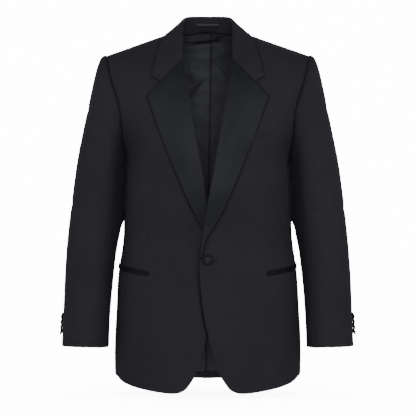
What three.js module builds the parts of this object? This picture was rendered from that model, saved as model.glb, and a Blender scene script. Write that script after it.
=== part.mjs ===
// A one-button dinner jacket in black wool with satin lapels, filled out as if worn, with nobody in it.
// Millimetres, +Z up. The front faces -Y and the wearer's left side is +X.
// The origin is midway between the shoulders, at the height where the shoulder seams meet the collar.
import * as THREE from "three";

const { clamp, lerp, smoothstep, degToRad } = THREE.MathUtils;

// Driving dimensions
const WOOL = 2.0; // wool with its canvas
const SATIN = 1.5; // pocket trims
const LINING = 1.0;
const SEAM_GAP = 0.3; // between two pieces that are sewn together
const SEAM_SLACK = 0.05; // what a curved seam needs on each side to keep that gap between its points
const CHEST_Z = -272; // height of the bottom of the armholes
const SQUARENESS = 2.4; // exponent of the body's oval sections
const NECK_HALF = 78; // from the centre to where a shoulder seam meets the collar
const NECK_Z = 8;
const NECK_RISE = 33; // how far the slopes would rise on to the centre, if the neck weren't cut out
const SHOULDER_Y = 5; // depth of the shoulder seam
const NECK_BACK_DEPTH = 64; // from the shoulder seam to the neck seam at the centre back
const SHOULDER_HALF = 222;
const SHOULDER_SLOPE = 0.354;
const ARMHOLE_SPREAD = 61; // how much wider the shoulders' sections are than the chest's
const ARMHOLE_DIP = 11; // the armhole's lowest point, below the side seams' tops
const SIDE_SEAM = 0.972; // the side seams' place, as a share of a section's half width
const FRONT_ARCH = { neck: 1.8, tip: 2.3 }; // exponents of the curve from chest to shoulder seam
const BACK_ARCH = { neck: 2.6, tip: 2.2 };

// The body's sections, from armhole to hem: half width, and depth in front of and behind the middle
const BODY = [
  { z: -800, half: 202, front: 117, back: 121 },
  { z: -760, half: 203, front: 118, back: 121 },
  { z: -700, half: 204.6, front: 120, back: 121 },
  { z: -660, half: 203.8, front: 121, back: 120 },
  { z: -600, half: 200.5, front: 121, back: 116 },
  { z: -545, half: 198, front: 120, back: 110 },
  { z: -500, half: 193.5, front: 119, back: 104 },
  { z: -460, half: 187, front: 119, back: 101 },
  { z: -422, half: 184, front: 122, back: 104 },
  { z: -380, half: 184.3, front: 129, back: 112 },
  { z: -330, half: 184.3, front: 136, back: 121 },
  { z: CHEST_Z, half: 183, front: 138, back: 124 },
];

// The armhole seam's distance from the centre, by share of the way up from side seams to shoulder
const ARMHOLE = [
  { up: 0, front: SIDE_SEAM * 183, back: SIDE_SEAM * 183 },
  { up: 0.056, front: 181.5, back: 182.5 },
  { up: 0.133, front: 184.5, back: 188 },
  { up: 0.245, front: 189, back: 194 },
  { up: 0.37, front: 198.4, back: 201 },
  { up: 0.52, front: 210.5, back: 209 },
  { up: 0.73, front: 219, back: 217 },
  { up: 1, front: SHOULDER_HALF, back: SHOULDER_HALF },
];

// A front's own edge, from the shoulder's neck end down to the rounded quarter
const ROLL_TOP = { x: 53.5, z: -56 };
const ROLL_SLOPE = 0.1735;
const ROLL_BREAK_Z = -450;
const ROLL_MARGIN = 4.5; // the front stops this far short of the fold of its lapel
const FRONT_EDGE = [
  { z: -757, x: 39 },
  { z: -748, x: 32.6 },
  { z: -736, x: 26.4 },
  { z: -720, x: 20.2 },
  { z: -700, x: 14.2 },
  { z: -676, x: 8 },
  { z: -652.6, x: 2 },
  { z: -633.9, x: -3.2 },
  { z: -603.9, x: -8.5 },
  { z: -564.6, x: -13.5 },
  { z: -522.6, x: -17 },
  { z: -486.5, x: -17.4 },
  { z: -464, x: -16.4 },
  { z: ROLL_BREAK_Z, x: rollX(ROLL_BREAK_Z) + ROLL_MARGIN },
  { z: -260, x: rollX(-260) + ROLL_MARGIN },
  { z: ROLL_TOP.z, x: ROLL_TOP.x + ROLL_MARGIN },
  { z: -34, x: 62 },
  { z: -12, x: 69 },
  { z: NECK_Z, x: NECK_HALF },
];

// The hem's height, by distance from the centre
const FRONT_HEM = [
  { x: 39, z: -757 },
  { x: 45, z: -765.5 },
  { x: 54, z: -772 },
  { x: 64, z: -775.5 },
  { x: 77, z: -777 },
  { x: 97, z: -775.5 },
  { x: 125, z: -771.5 },
  { x: 155, z: -765.5 },
  { x: 180, z: -757.5 },
  { x: 191, z: -750.5 },
  { x: 199, z: -742 },
];
const BACK_HEM = [
  { x: 0, z: -760.5 },
  { x: 80, z: -759.5 },
  { x: 150, z: -754.5 },
  { x: 198, z: -745 },
];
const HEM_CORNER = BACK_HEM.at(-1); // where the hem meets the side seams
const SIDE_HEM_Z = -739;

// A sleeve's sections, from armhole to cuff: its outer and inner points seen from the front, its depth
// at the front and back, and how far it still follows the armhole
const SLEEVE = [
  { outerX: 222.6, outerZ: -44, innerX: 183.7, innerZ: -283, front: -72, back: 68, armhole: 1 },
  { outerX: 229, outerZ: -44.5, innerX: 184.2, innerZ: -287, front: -74, back: 69, armhole: 0.86 },
  { outerX: 236.5, outerZ: -51, innerX: 184.6, innerZ: -292, front: -76, back: 70, armhole: 0.7 },
  { outerX: 243.5, outerZ: -70, innerX: 184.9, innerZ: -300, front: -78, back: 70, armhole: 0.5 },
  { outerX: 252, outerZ: -105, innerX: 185.1, innerZ: -312, front: -79, back: 69, armhole: 0.3 },
  { outerX: 263, outerZ: -158, innerX: 185.3, innerZ: -330, front: -79, back: 67, armhole: 0.14 },
  { outerX: 274, outerZ: -211, innerX: 185.4, innerZ: -352, front: -77, back: 64, armhole: 0.05 },
  { outerX: 289, outerZ: -290, innerX: 186, innerZ: -388, front: -73, back: 60, armhole: 0 },
  { outerX: 299, outerZ: -369, innerX: 191.5, innerZ: -428, front: -69, back: 52, armhole: 0 },
  { outerX: 307, outerZ: -440, innerX: 199, innerZ: -468, front: -69, back: 44, armhole: 0 },
  { outerX: 311.5, outerZ: -500, innerX: 204.5, innerZ: -512, front: -70, back: 35, armhole: 0 },
  { outerX: 314, outerZ: -560, innerX: 209.5, innerZ: -565, front: -72, back: 26, armhole: 0 },
  { outerX: 316, outerZ: -620, innerX: 213.5, innerZ: -622, front: -74, back: 17, armhole: 0 },
  { outerX: 318.5, outerZ: -676.5, innerX: 215.5, innerZ: -678.5, front: -76, back: 8, armhole: 0 },
];
const SLEEVE_SQUARENESS = 2.15;
const FRONT_SLEEVE_SEAM = 125; // degrees round the sleeve, from its outside by way of its front
const BACK_SLEEVE_SEAM = { armhole: 292, cuff: 342 };

// The lapel's free edge seen from the front, from its point down to where it turns into the front's edge
const LAPEL_EDGE = [
  { along: 0, x: 129, z: -137 },
  { along: 0.12, x: 115.8, z: -174 },
  { along: 0.26, x: 100.4, z: -218 },
  { along: 0.44, x: 79, z: -273 },
  { along: 0.62, x: 55.6, z: -330 },
  { along: 0.82, x: 28, z: -390 },
  { along: 0.91, x: 12.9, z: -417 },
  { along: 0.97, x: 0.5, z: -438 },
  { along: 1, x: -5.5, z: -451 },
];
const LAPEL_LIFT = WOOL + 0.7; // height of a lapel's face over the front it lies on
const LAPEL_BELLY = 2.2; // how far a lapel bows out between its roll and its edge
const LAPEL_ROWS = 17;
const LAPEL_BELLY_ENDS = { from: 0.35, to: 0.7 }; // shares of the way down
const GORGE_GAP = 2.3; // between a lapel's top edge and the collar's front end
const FOLD_RADIUS = { top: 4, break: 3.4 }; // outside of the roll
const TURN_IN = { top: 12, break: 4 }; // how far a lapel's satin turns in behind the roll

// The collar's fold, by share of the way from the centre back to its front end
const COLLAR_FOLD = [
  { along: 0, x: 0, y: 62, z: 49 },
  { along: 0.2, x: 26, y: 58, z: 49 },
  { along: 0.36, x: 45, y: 44, z: 46.5 },
  { along: 0.5, x: 52.5, y: 25, z: 37.5 },
  { along: 0.62, x: 54.5, y: -3, z: 22 },
  { along: 0.75, x: 54.5, y: -36, z: 0 },
  { along: 0.88, x: 54, y: -62.5, z: -28 },
];
// Where the collar is sewn to the neck: by distance from the centre behind the shoulders, by height in front
const COLLAR_SEAM_BACK = [
  { along: 0, x: 0 },
  { along: 0.2, x: 30 },
  { along: 0.36, x: 54 },
  { along: 0.45, x: 70 },
  { along: 0.5, x: NECK_HALF },
];
const COLLAR_SEAM_FRONT = [
  { along: 0.5, z: NECK_Z },
  { along: 0.62, z: 4 },
  { along: 0.75, z: -8 },
  { along: 0.88, z: -31 },
  { along: 1, z: ROLL_TOP.z },
];
// The free edge of the collar's fall, which lies on the shoulders
const COLLAR_EDGE = [
  { along: 0, x: 0, over: 1.37 },
  { along: 0.2, x: 35, over: 1.336 },
  { along: 0.38, x: 64, over: 1.247 },
  { along: 0.5, x: 80, over: 1.13 },
  { along: 0.6, x: 88, over: 0.98 },
  { along: 0.7, x: 93.5, over: 0.87 },
  { along: 0.8, x: 99.5, over: 0.768 },
  { along: 0.9, x: 110, over: 0.6 },
  { along: 1, x: 120, over: 0.463 },
];
const COLLAR_POINT = COLLAR_EDGE.at(-1);
const COLLAR_LIES = { from: 0.64, to: 0.82 }; // between these the standing collar turns into a lying one
const NOTCH = { x: 100.5, z: -105.5 }; // where the lapel's top edge leaves the collar
const COLLAR_DROP_FROM = 0.7; // from here on the collar's end slants down to the notch
const COLLAR_BELLY = 2.5;
const STAND_INSET = { back: 2.7, front: 4.2 }; // from the neck seam in to the stand's face
const NECK_CENTRE_Y = 20; // the collar stand's foot is drawn in towards here

// Trims and fastenings
const FRONT_BUTTON = { radius: 10, height: 4.6, z: -490, shank: 1.2, segments: 18 };
const CUFF_BUTTON = { radius: 7.5, height: 3, tilt: 18, segments: 12 };
const CUFF_BUTTONS = { count: 4, spacing: 11.4, lowestZ: -648.2 };
const CUFF_BUTTONS_FROM_SEAM = 10; // degrees round the sleeve
const CUFF_BUTTON_SLACK = 0.1;
const SHANK_RADIUS = 1.6;
const HIP_POCKET = { frontX: 128, frontZ: -518.5, backZ: -503, endShare: 0.97, jet: 5, slit: 0.8 };
const CHEST_POCKET = { x0: 52, x1: 143, topZ: -217, height: 22, drop: 3, lift: 0.6 };
const WELT_EASE = 24; // the left lapel rises to the welt over this distance
const HANGER_LOOP = { half: 25, z: 30, height: 4, bow: 3.5, roundness: 0.6, clearance: 1.7 };
const LINING_HEM_RISE = 18; // the lining stops this far above the back's hem
const LINING_GAP = 1.8; // the lining hangs this far inside the back
// The lining's right half stands off its left half and laps over it, just past the centre back
const PLEAT = { step: 2.8, lap: 7, from: 2, to: 40 };

// The left front stands off the right one where it laps over it, and further with a lapel between them
const LAP = { near: 16, far: 112, cloth: 2.7, lapel: 5, top: 245, full: 372, lapelFull: 460, lapelEnd: 560 };

const COLOURS = {
  wool: { color: 0x17171a, roughness: 0.85 },
  satin: { color: 0x101214, roughness: 0.42 },
  lining: { color: 0x1d2023, roughness: 0.5 },
};

// A smooth curve through a table's rows that never overshoots them: column value against column key
function follow(table, key, value) {
  const rows = [...table].sort((a, b) => a[key] - b[key]);
  const k = rows.map((row) => row[key]);
  const v = rows.map((row) => row[value]);
  const last = rows.length - 1;
  const slope = v.slice(1).map((end, i) => (end - v[i]) / (k[i + 1] - k[i]));
  const tangent = v.map((_, i) => {
    if (i === 0) return slope[0];
    if (i === last) return slope[last - 1];
    const [before, after] = [slope[i - 1], slope[i]];
    return before * after <= 0 ? 0 : (2 * before * after) / (before + after);
  });
  return (at) => {
    if (at <= k[0]) return v[0];
    if (at >= k[last]) return v[last];
    const i = k.findIndex((end) => end > at) - 1;
    const width = k[i + 1] - k[i];
    const t = (at - k[i]) / width;
    const [t2, t3] = [t * t, t * t * t];
    return (
      (2 * t3 - 3 * t2 + 1) * v[i] +
      (t3 - 2 * t2 + t) * width * tangent[i] +
      (3 * t2 - 2 * t3) * v[i + 1] +
      (t3 - t2) * width * tangent[i + 1]
    );
  };
}

const mixPoints = (a, b, t) => a.clone().lerp(b, t);
const rootedOval = (share, exponent) => (1 - Math.min(1, share) ** exponent) ** (1 / exponent);
const softMax = (a, b, softness) => 0.5 * (a + b + Math.hypot(a - b, softness));

// The roll line of a lapel, straight as seen from the front
function rollX(z) {
  return ROLL_TOP.x + ROLL_SLOPE * (z - ROLL_TOP.z);
}

// The body's outer surface

const halfAt = follow(BODY, "z", "half");
const frontAt = follow(BODY, "z", "front");
const backAt = follow(BODY, "z", "back");
const armholeFront = follow(ARMHOLE, "up", "front");
const armholeBack = follow(ARMHOLE, "up", "back");
const frontEdgeX = follow(FRONT_EDGE, "z", "x");
const frontHemZ = follow(FRONT_HEM, "x", "z");
const backHemZ = follow(BACK_HEM, "x", "z");

// The shoulders' crest, carried on smoothly over the neck opening
function ridge(x) {
  const out = Math.abs(x);
  if (out >= NECK_HALF) return NECK_Z - SHOULDER_SLOPE * (out - NECK_HALF);
  const t = out / NECK_HALF;
  return NECK_Z + NECK_RISE * (1 - t * t * (3 - 2 * t)) - SHOULDER_SLOPE * NECK_HALF * (t ** 3 - t ** 2);
}

// The neck seam's depth at the back
function neckDepth(x) {
  const inside = Math.max(0, 1 - (Math.abs(x) / NECK_HALF) ** SQUARENESS);
  return SHOULDER_Y + NECK_BACK_DEPTH * Math.sqrt(inside);
}

function archExponent(x, behind) {
  const arch = behind ? BACK_ARCH : FRONT_ARCH;
  const share = clamp((Math.abs(x) - ROLL_TOP.x) / (SHOULDER_HALF - ROLL_TOP.x), 0, 1);
  return lerp(arch.neck, arch.tip, share);
}

// The depth at the chest that the upper body curves out to, at a share of the way up
function chestDepth(x, up, behind) {
  const half = halfAt(CHEST_Z) + ARMHOLE_SPREAD * Math.sin((up * Math.PI) / 2);
  return (behind ? backAt(CHEST_Z) : -frontAt(CHEST_Z)) * rootedOval(Math.abs(x) / half, SQUARENESS);
}

// The depth of the front or back surface at a place seen from the front
function surfaceY(x, z, behind) {
  if (z < CHEST_Z) {
    const depth = behind ? backAt(z) : -frontAt(z);
    return depth * rootedOval(Math.abs(x) / halfAt(z), SQUARENESS);
  }
  const up = Math.min(1, (z - CHEST_Z) / (ridge(x) - CHEST_Z));
  const out = chestDepth(x, up, behind) - SHOULDER_Y;
  return SHOULDER_Y + out * rootedOval(up, archExponent(x, behind));
}

// The height on the upper body at a share of the way over it: 0 front chest, 1 shoulder seam, 2 back chest
function heightOver(x, over) {
  const rise = Math.sin((over * Math.PI) / 2) ** (2 / archExponent(x, over > 1));
  return CHEST_Z + (ridge(x) - CHEST_Z) * rise;
}

// Where the back starts on that way: at the neck seam, or beyond it at the shoulder seam
function backStart(x) {
  const nearTop = 0.95;
  const depth = (neckDepth(x) - SHOULDER_Y) / (chestDepth(x, nearTop, true) - SHOULDER_Y);
  return 1 + Math.asin(depth ** (archExponent(x, true) / 2)) / (Math.PI / 2);
}

function bodyPoint(x, z, behind) {
  return new THREE.Vector3(x, surfaceY(x, z, behind), z);
}

// The outward normal there, from points a little to the side and below
function bodyNormal(point, behind) {
  const step = 0.4;
  const stepAtTop = 2;
  const { x, z } = point;
  const inner = x - Math.sign(x || 1) * step;
  const here = bodyPoint(x, z, behind);
  const across = bodyPoint(inner, z, behind).sub(here).multiplyScalar(-Math.sign(x || 1));
  const nearTop = z > ridge(x) - stepAtTop;
  const below = bodyPoint(x, z - (nearTop ? stepAtTop : step), behind);
  const normal = across.cross(here.sub(below));
  if (behind) normal.negate();
  return normal.normalize();
}

// A wall from a grid of points on its face: rows of columns, with the normals that point out of the face

function wall(face, normals, thickness) {
  const rows = face.length;
  const columns = face[0].length;
  const inside = (p, i, j) => p.clone().addScaledVector(normals[i][j], -thickness);
  const back = face.map((row, i) => row.map((p, j) => inside(p, i, j)));
  const points = [...face.flat(), ...back.flat()];
  const faceAt = (i, j) => i * columns + j;
  const backAtGrid = (i, j) => rows * columns + faceAt(i, j);
  const triangles = [];
  const quad = (a, b, c, d) => triangles.push(a, b, c, a, c, d);
  for (let i = 0; i < rows - 1; i++) {
    for (let j = 0; j < columns - 1; j++) {
      quad(faceAt(i, j), faceAt(i, j + 1), faceAt(i + 1, j + 1), faceAt(i + 1, j));
      quad(backAtGrid(i, j), backAtGrid(i + 1, j), backAtGrid(i + 1, j + 1), backAtGrid(i, j + 1));
    }
  }
  const border = [];
  for (let j = 0; j < columns - 1; j++) border.push([0, j]);
  for (let i = 0; i < rows - 1; i++) border.push([i, columns - 1]);
  for (let j = columns - 1; j > 0; j--) border.push([rows - 1, j]);
  for (let i = rows - 1; i > 0; i--) border.push([i, 0]);
  border.forEach(([i, j], n) => {
    const [k, l] = border[(n + 1) % border.length];
    quad(faceAt(k, l), faceAt(i, j), backAtGrid(i, j), backAtGrid(k, l));
  });
  return closedGeometry(points, triangles);
}

// A closed surface with its faces turned outwards
function closedGeometry(points, triangles) {
  let volume = 0;
  for (let i = 0; i < triangles.length; i += 3) {
    const [a, b, c] = [0, 1, 2].map((n) => points[triangles[i + n]]);
    volume += a.dot(b.clone().cross(c));
  }
  const index = volume > 0 ? triangles : [...triangles].reverse();
  const geometry = new THREE.BufferGeometry().setFromPoints(points);
  geometry.setIndex(index);
  geometry.computeVertexNormals();
  return geometry;
}

function gridOf(rows, columns, point) {
  return Array.from({ length: rows }, (_, i) =>
    Array.from({ length: columns }, (_, j) => point(i / (rows - 1), j / (columns - 1))),
  );
}

// Normals of a grid from its own neighbours; they point at whoever sees rows run down and columns run right
function gridNormals(grid) {
  const at = (i, j) => grid[clamp(i, 0, grid.length - 1)][clamp(j, 0, grid[0].length - 1)];
  return grid.map((row, i) =>
    row.map((_, j) => {
      const across = at(i, j + 1).clone().sub(at(i, j - 1));
      const down = at(i + 1, j).clone().sub(at(i - 1, j));
      return down.cross(across).normalize();
    }),
  );
}

// Draws a grid's outermost points in, so that two pieces leave half a gap each at their seam
function drawIn(grid, { top = 0, bottom = 0, left = 0, right = 0 }) {
  const last = grid.length - 1;
  const end = grid[0].length - 1;
  const move = (from, towards, distance) => {
    const way = towards.clone().sub(from);
    from.addScaledVector(way.normalize(), distance);
  };
  for (let j = 0; j <= end; j++) {
    if (top) move(grid[0][j], grid[1][j], top);
    if (bottom) move(grid[last][j], grid[last - 1][j], bottom);
  }
  for (let i = 0; i <= last; i++) {
    if (left) move(grid[i][0], grid[i][1], left);
    if (right) move(grid[i][end], grid[i][end - 1], right);
  }
  return grid;
}

const mirrored = (grid, side) => grid.map((row) => row.map((p) => new THREE.Vector3(p.x * side, p.y, p.z)));

// Fronts, sides and back

const HALF_SEAM = SEAM_GAP / 2 + SEAM_SLACK;
// A front's columns, from its own edge to the side seam
const FRONT_SHARES = [0, 0.035, 0.08, 0.14, 0.22, 0.32, 0.43, 0.54, 0.65, 0.755, 0.85, 0.93, 1];

function lapLift(x, z, side) {
  if (side < 0) return 0;
  const near = 1 - smoothstep(x, LAP.near, LAP.far);
  const below = smoothstep(-z, LAP.top, LAP.full);
  const lapel = below * (1 - smoothstep(-z, LAP.lapelFull, LAP.lapelEnd));
  return near * (LAP.cloth * below + LAP.lapel * lapel);
}

// Where a row of the upper front meets the front's own edge, found by steps that ease in on it
function edgeOnRow(over) {
  const rounds = 12;
  const ease = 0.7;
  let x = ROLL_TOP.x;
  for (let i = 0; i < rounds; i++) x = lerp(x, frontEdgeX(heightOver(x, over)), ease);
  return x;
}

function frontPlace(v, share) {
  if (v < 0) {
    const over = -v;
    const x = lerp(edgeOnRow(over), armholeFront(over), share);
    return { x, z: heightOver(x, over) };
  }
  const innerZ = lerp(CHEST_Z, FRONT_EDGE[0].z, v);
  const hemX = lerp(FRONT_EDGE[0].x, SIDE_SEAM * halfAt(HEM_CORNER.z), share);
  const z = lerp(CHEST_Z, frontHemZ(hemX), v);
  return { x: lerp(frontEdgeX(innerZ), SIDE_SEAM * halfAt(z), share), z };
}

// Rows of the fronts and the back: shares of the way up to the shoulder, then heights below the chest
const ROWS_UP = [1, 0.93, 0.84, 0.73, 0.61, 0.49, 0.37, 0.26, 0.16, 0.075];
const CHEST_ROWS = [CHEST_Z, -300, -328, -356, -382, -406, -430, ROLL_BREAK_Z];
const SKIRT_ROWS = [-464, -486, -516, -550, -586, -622, -656];
const QUARTER_ROWS = [-682, -704, -722, -737, -748.5, FRONT_EDGE[0].z];
const downShare = (z) => (CHEST_Z - z) / (CHEST_Z - FRONT_EDGE[0].z);
const UPPER_ROWS = ROWS_UP.map((over) => -over);
const FRONT_ROWS = [...UPPER_ROWS, ...[...CHEST_ROWS, ...SKIRT_ROWS, ...QUARTER_ROWS].map(downShare)];

// A panel's normals, level along the shoulder seam so that both sides of it stand square
function panelNormals(face, behind) {
  return face.map((row, i) =>
    row.map((p) => {
      const normal = bodyNormal(p, behind);
      return i === 0 && p.x > NECK_HALF - 1 ? normal.setY(0).normalize() : normal;
    }),
  );
}

function front(side) {
  const face = FRONT_ROWS.map((v) =>
    FRONT_SHARES.map((share) => {
      const { x, z } = frontPlace(v, share);
      const point = bodyPoint(x, z, false);
      return point.addScaledVector(bodyNormal(point, false), lapLift(x, z, side));
    }),
  );
  drawIn(face, { top: HALF_SEAM, right: HALF_SEAM });
  return wall(mirrored(face, side), mirrored(panelNormals(face, false), side), WOOL);
}

// A place on a section by angle round it: 0 centre front, 90 side, 180 centre back
function sectionPoint(angle, z) {
  const a = degToRad(angle);
  const x = halfAt(z) * Math.abs(Math.sin(a)) ** (2 / SQUARENESS);
  const depth = angle < 90 ? -frontAt(z) : backAt(z);
  return new THREE.Vector3(x, depth * Math.abs(Math.cos(a)) ** (2 / SQUARENESS), z);
}

function sectionNormal(angle, z) {
  const turn = 0.5;
  const rise = 1;
  const across = sectionPoint(angle + turn, z).sub(sectionPoint(angle - turn, z));
  const up = sectionPoint(angle, z + rise).sub(sectionPoint(angle, z - rise));
  return across.cross(up).normalize();
}

const SEAM_ANGLE = THREE.MathUtils.radToDeg(Math.asin(SIDE_SEAM ** (SQUARENESS / 2)));
const sideAngle = (u) => lerp(SEAM_ANGLE, 180 - SEAM_ANGLE, u);

function sideTop(u) {
  return CHEST_Z - ARMHOLE_DIP * Math.sin(Math.PI * u);
}

function sideHem(u) {
  const seamX = SIDE_SEAM * halfAt(HEM_CORNER.z);
  const ends = lerp(frontHemZ(seamX), backHemZ(seamX), u);
  return lerp(ends, SIDE_HEM_Z, Math.sin(Math.PI * u));
}

function side(handed) {
  const place = (v, u) => ({ angle: sideAngle(u), z: lerp(sideTop(u), sideHem(u), v) });
  const rows = 15;
  const columns = 6;
  const face = gridOf(rows, columns, (v, u) => sectionPoint(place(v, u).angle, place(v, u).z));
  const normals = gridOf(rows, columns, (v, u) => sectionNormal(place(v, u).angle, place(v, u).z));
  drawIn(face, { left: HALF_SEAM, right: HALF_SEAM });
  return wall(mirrored(face, handed), mirrored(normals, handed), WOOL);
}

function backPlace(v, share) {
  if (v < 0) {
    const x = armholeBack(-v) * share;
    return { x, z: heightOver(x, lerp(backStart(x), 2, 1 + v)) };
  }
  const hemX = SIDE_SEAM * halfAt(HEM_CORNER.z) * share;
  const z = lerp(CHEST_Z, backHemZ(hemX), v);
  return { x: SIDE_SEAM * halfAt(z) * share, z };
}

// Columns of the back, from its centre: one runs down from where neck and shoulder seams meet
const NECK_SHARE = NECK_HALF / SHOULDER_HALF;
const BACK_SHARES = [0, 0.1, 0.2, 0.29, NECK_SHARE, 0.46, 0.57, 0.68, 0.78, 0.87, 0.94, 1];
const BACK_ROWS = [...UPPER_ROWS, ...Array.from({ length: 13 }, (_, i) => i / 12)];
const LINING_SHARES = [0, 0.1, 0.2, 0.29, NECK_SHARE, 0.5, 0.66, 0.8, 0.9, 0.96];
const LINING_ROWS_UP = [-0.985, -0.9, -0.75, -0.6, -0.45, -0.3, -0.15];
const LINING_ROWS = [...LINING_ROWS_UP, 0, 0.12, 0.25, 0.38, 0.5, 0.62, 0.74, 0.87, 1];

function back(handed) {
  const face = BACK_ROWS.map((v) =>
    BACK_SHARES.map((share) => {
      const { x, z } = backPlace(v, share);
      return bodyPoint(x, z, true);
    }),
  );
  drawIn(face, { top: HALF_SEAM, left: HALF_SEAM, right: HALF_SEAM });
  return wall(mirrored(face, handed), mirrored(panelNormals(face, true), handed), WOOL);
}

// The back's lining, which shows through the neck and under the fronts
function lining(handed) {
  const laps = handed < 0;
  const depth = WOOL + LINING_GAP;
  const hemShare = 1 - LINING_HEM_RISE / (CHEST_Z - BACK_HEM[0].z);
  const face = LINING_ROWS.map((v) =>
    LINING_SHARES.map((share) => {
      const { x, z } = backPlace(v > 0 ? v * hemShare : v, share);
      const point = bodyPoint(x, z, true);
      const step = laps ? PLEAT.step * (1 - smoothstep(x, PLEAT.from, PLEAT.to)) : 0;
      return point.addScaledVector(bodyNormal(point, true), -depth - step);
    }),
  );
  face.forEach((row) => row[0].setX(laps ? -PLEAT.lap : SEAM_GAP));
  const normals = face.map((row) => row.map((p) => bodyNormal(p, true)));
  return wall(mirrored(face, handed), mirrored(normals, handed), LINING);
}

// Sleeves

// The armhole seam as a closed line: from the shoulder down the front, under the arm and up the back
function armholeLine() {
  const points = [];
  const steps = 24;
  for (let i = 0; i < steps; i++) {
    const over = 1 - i / steps;
    const x = armholeFront(over);
    points.push(bodyPoint(x, heightOver(x, over), false));
  }
  for (let i = 0; i <= steps; i++) points.push(sectionPoint(sideAngle(i / steps), sideTop(i / steps)));
  for (let i = 1; i < steps; i++) {
    const over = i / steps;
    const x = armholeBack(over);
    points.push(bodyPoint(x, heightOver(x, 2 - over), true));
  }
  return new THREE.CatmullRomCurve3(points, true);
}

const armhole = armholeLine();
const ARMHOLE_STEPS = 360;
const armholeSamples = armhole.getSpacedPoints(ARMHOLE_STEPS);
const lowestSample = armholeSamples.reduce((best, p, i) => (p.z < armholeSamples[best].z ? i : best), 0);

// A point of that line by angle: 0 at the shoulder, 180 under the arm
function armholePoint(angle) {
  const turn = (((angle % 360) + 360) % 360) / 180;
  const spot = turn <= 1 ? turn * lowestSample : lowestSample + (turn - 1) * (ARMHOLE_STEPS - lowestSample);
  const i = Math.floor(spot);
  const next = armholeSamples[Math.min(i + 1, ARMHOLE_STEPS)];
  return mixPoints(armholeSamples[i], next, spot - i);
}

const sleeveStations = SLEEVE.map((row, station) => ({ ...row, station }));
const sleeveColumn = Object.fromEntries(
  Object.keys(SLEEVE[0]).map((name) => [name, follow(sleeveStations, "station", name)]),
);
const LAST_STATION = SLEEVE.length - 1;

function sleeveOval(angle, station) {
  const at = (name) => sleeveColumn[name](station);
  const a = degToRad(angle);
  const round = (value) => Math.sign(value) * Math.abs(value) ** (2 / SLEEVE_SQUARENESS);
  const outwards = round(Math.cos(a));
  const forwards = round(Math.sin(a));
  const middle = (at("front") + at("back")) / 2;
  const reach = (at("back") - at("front")) / 2;
  return new THREE.Vector3(
    lerp(at("innerX"), at("outerX"), (1 + outwards) / 2),
    middle - reach * forwards,
    lerp(at("innerZ"), at("outerZ"), (1 + outwards) / 2),
  );
}

// A sleeve starts along the armhole, this many seam gaps outside it
const SLEEVE_OUTSET = { top: 2, under: 2.5 };

// On the way down it takes its own oval shape
function sleevePoint(angle, station) {
  const oval = sleeveOval(angle, station);
  const share = sleeveColumn.armhole(station);
  if (share <= 0) return oval;
  const under = (1 - Math.cos(degToRad(angle))) / 2;
  const start = armholePoint(angle);
  start.x += SEAM_GAP * lerp(SLEEVE_OUTSET.top, SLEEVE_OUTSET.under, under ** 4);
  const difference = start.sub(sleeveOval(angle, 0));
  return oval.addScaledVector(difference, share);
}

function sleeveNormal(angle, station) {
  const step = 0.1;
  const round = sleevePoint(angle + 1, station).sub(sleevePoint(angle - 1, station));
  const low = Math.max(0, station - step);
  const high = Math.min(LAST_STATION, station + step);
  const along = sleevePoint(angle, high).sub(sleevePoint(angle, low));
  return round.cross(along).normalize();
}

const SLEEVE_ROWS = [0, 0.5, 1, 1.5, 2, 3, 4, 5, 6, 7, 8, 9, 10, 11, 12, 13];
const backSeam = (station) => lerp(BACK_SLEEVE_SEAM.armhole, BACK_SLEEVE_SEAM.cuff, station / LAST_STATION);

function sleevePiece(handed, columns, from, to) {
  const shares = Array.from({ length: columns }, (_, j) => j / (columns - 1));
  const grid = (point) =>
    SLEEVE_ROWS.map((station) => shares.map((u) => point(lerp(from(station), to(station), u), station)));
  const face = grid(sleevePoint);
  const normals = grid(sleeveNormal);
  drawIn(face, { left: HALF_SEAM, right: HALF_SEAM });
  return wall(mirrored(face, handed), mirrored(normals, handed), WOOL);
}

const topSleeve = (handed) =>
  sleevePiece(handed, 13, (station) => backSeam(station) - 360, () => FRONT_SLEEVE_SEAM);
const underSleeve = (handed) => sleevePiece(handed, 11, () => FRONT_SLEEVE_SEAM, backSeam);

// Lapels

const lapelEdgeX = follow(LAPEL_EDGE, "along", "x");
const lapelEdgeZ = follow(LAPEL_EDGE, "along", "z");

// The front's face with the lift of the lap, and its normal
function onFront(x, z, handed) {
  const point = bodyPoint(x, z, false);
  const normal = bodyNormal(point, false);
  point.addScaledVector(normal, lapLift(x, z, handed));
  return { point, normal };
}

// The left lapel rises over the chest pocket's welt
function weltLift(x, z, handed) {
  if (handed < 0) return 0;
  const { x0, topZ, height, lift } = CHEST_POCKET;
  const margin = 2;
  const [innerX, bottomZ] = [x0 - margin, topZ - height - margin];
  const across = smoothstep(x, innerX - WELT_EASE + margin, innerX);
  const above = smoothstep(z, bottomZ - WELT_EASE, bottomZ);
  const below = 1 - smoothstep(z, topZ + 2 * margin, topZ + WELT_EASE + margin);
  return (SATIN + lift) * across * above * below;
}

const ROLL_TURNS = [-75, -38, 0, 38, 75]; // degrees
const LEG_STARTS = { behind: 0.4, above: 0.6 }; // how far past a roll its two legs start

// A line seen from the front that bends at a corner, measured along its length
function bentLine(start, corner, end) {
  const first = Math.hypot(corner.x - start.x, corner.z - start.z);
  const second = Math.hypot(end.x - corner.x, end.z - corner.z);
  const at = (distance) => {
    const before = distance < first;
    const [from, to] = before ? [start, corner] : [corner, end];
    const t = before ? distance / first : (distance - first) / second;
    return { x: lerp(from.x, to.x, t), z: lerp(from.z, to.z, t) };
  };
  return { at, first, length: first + second };
}

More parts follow.
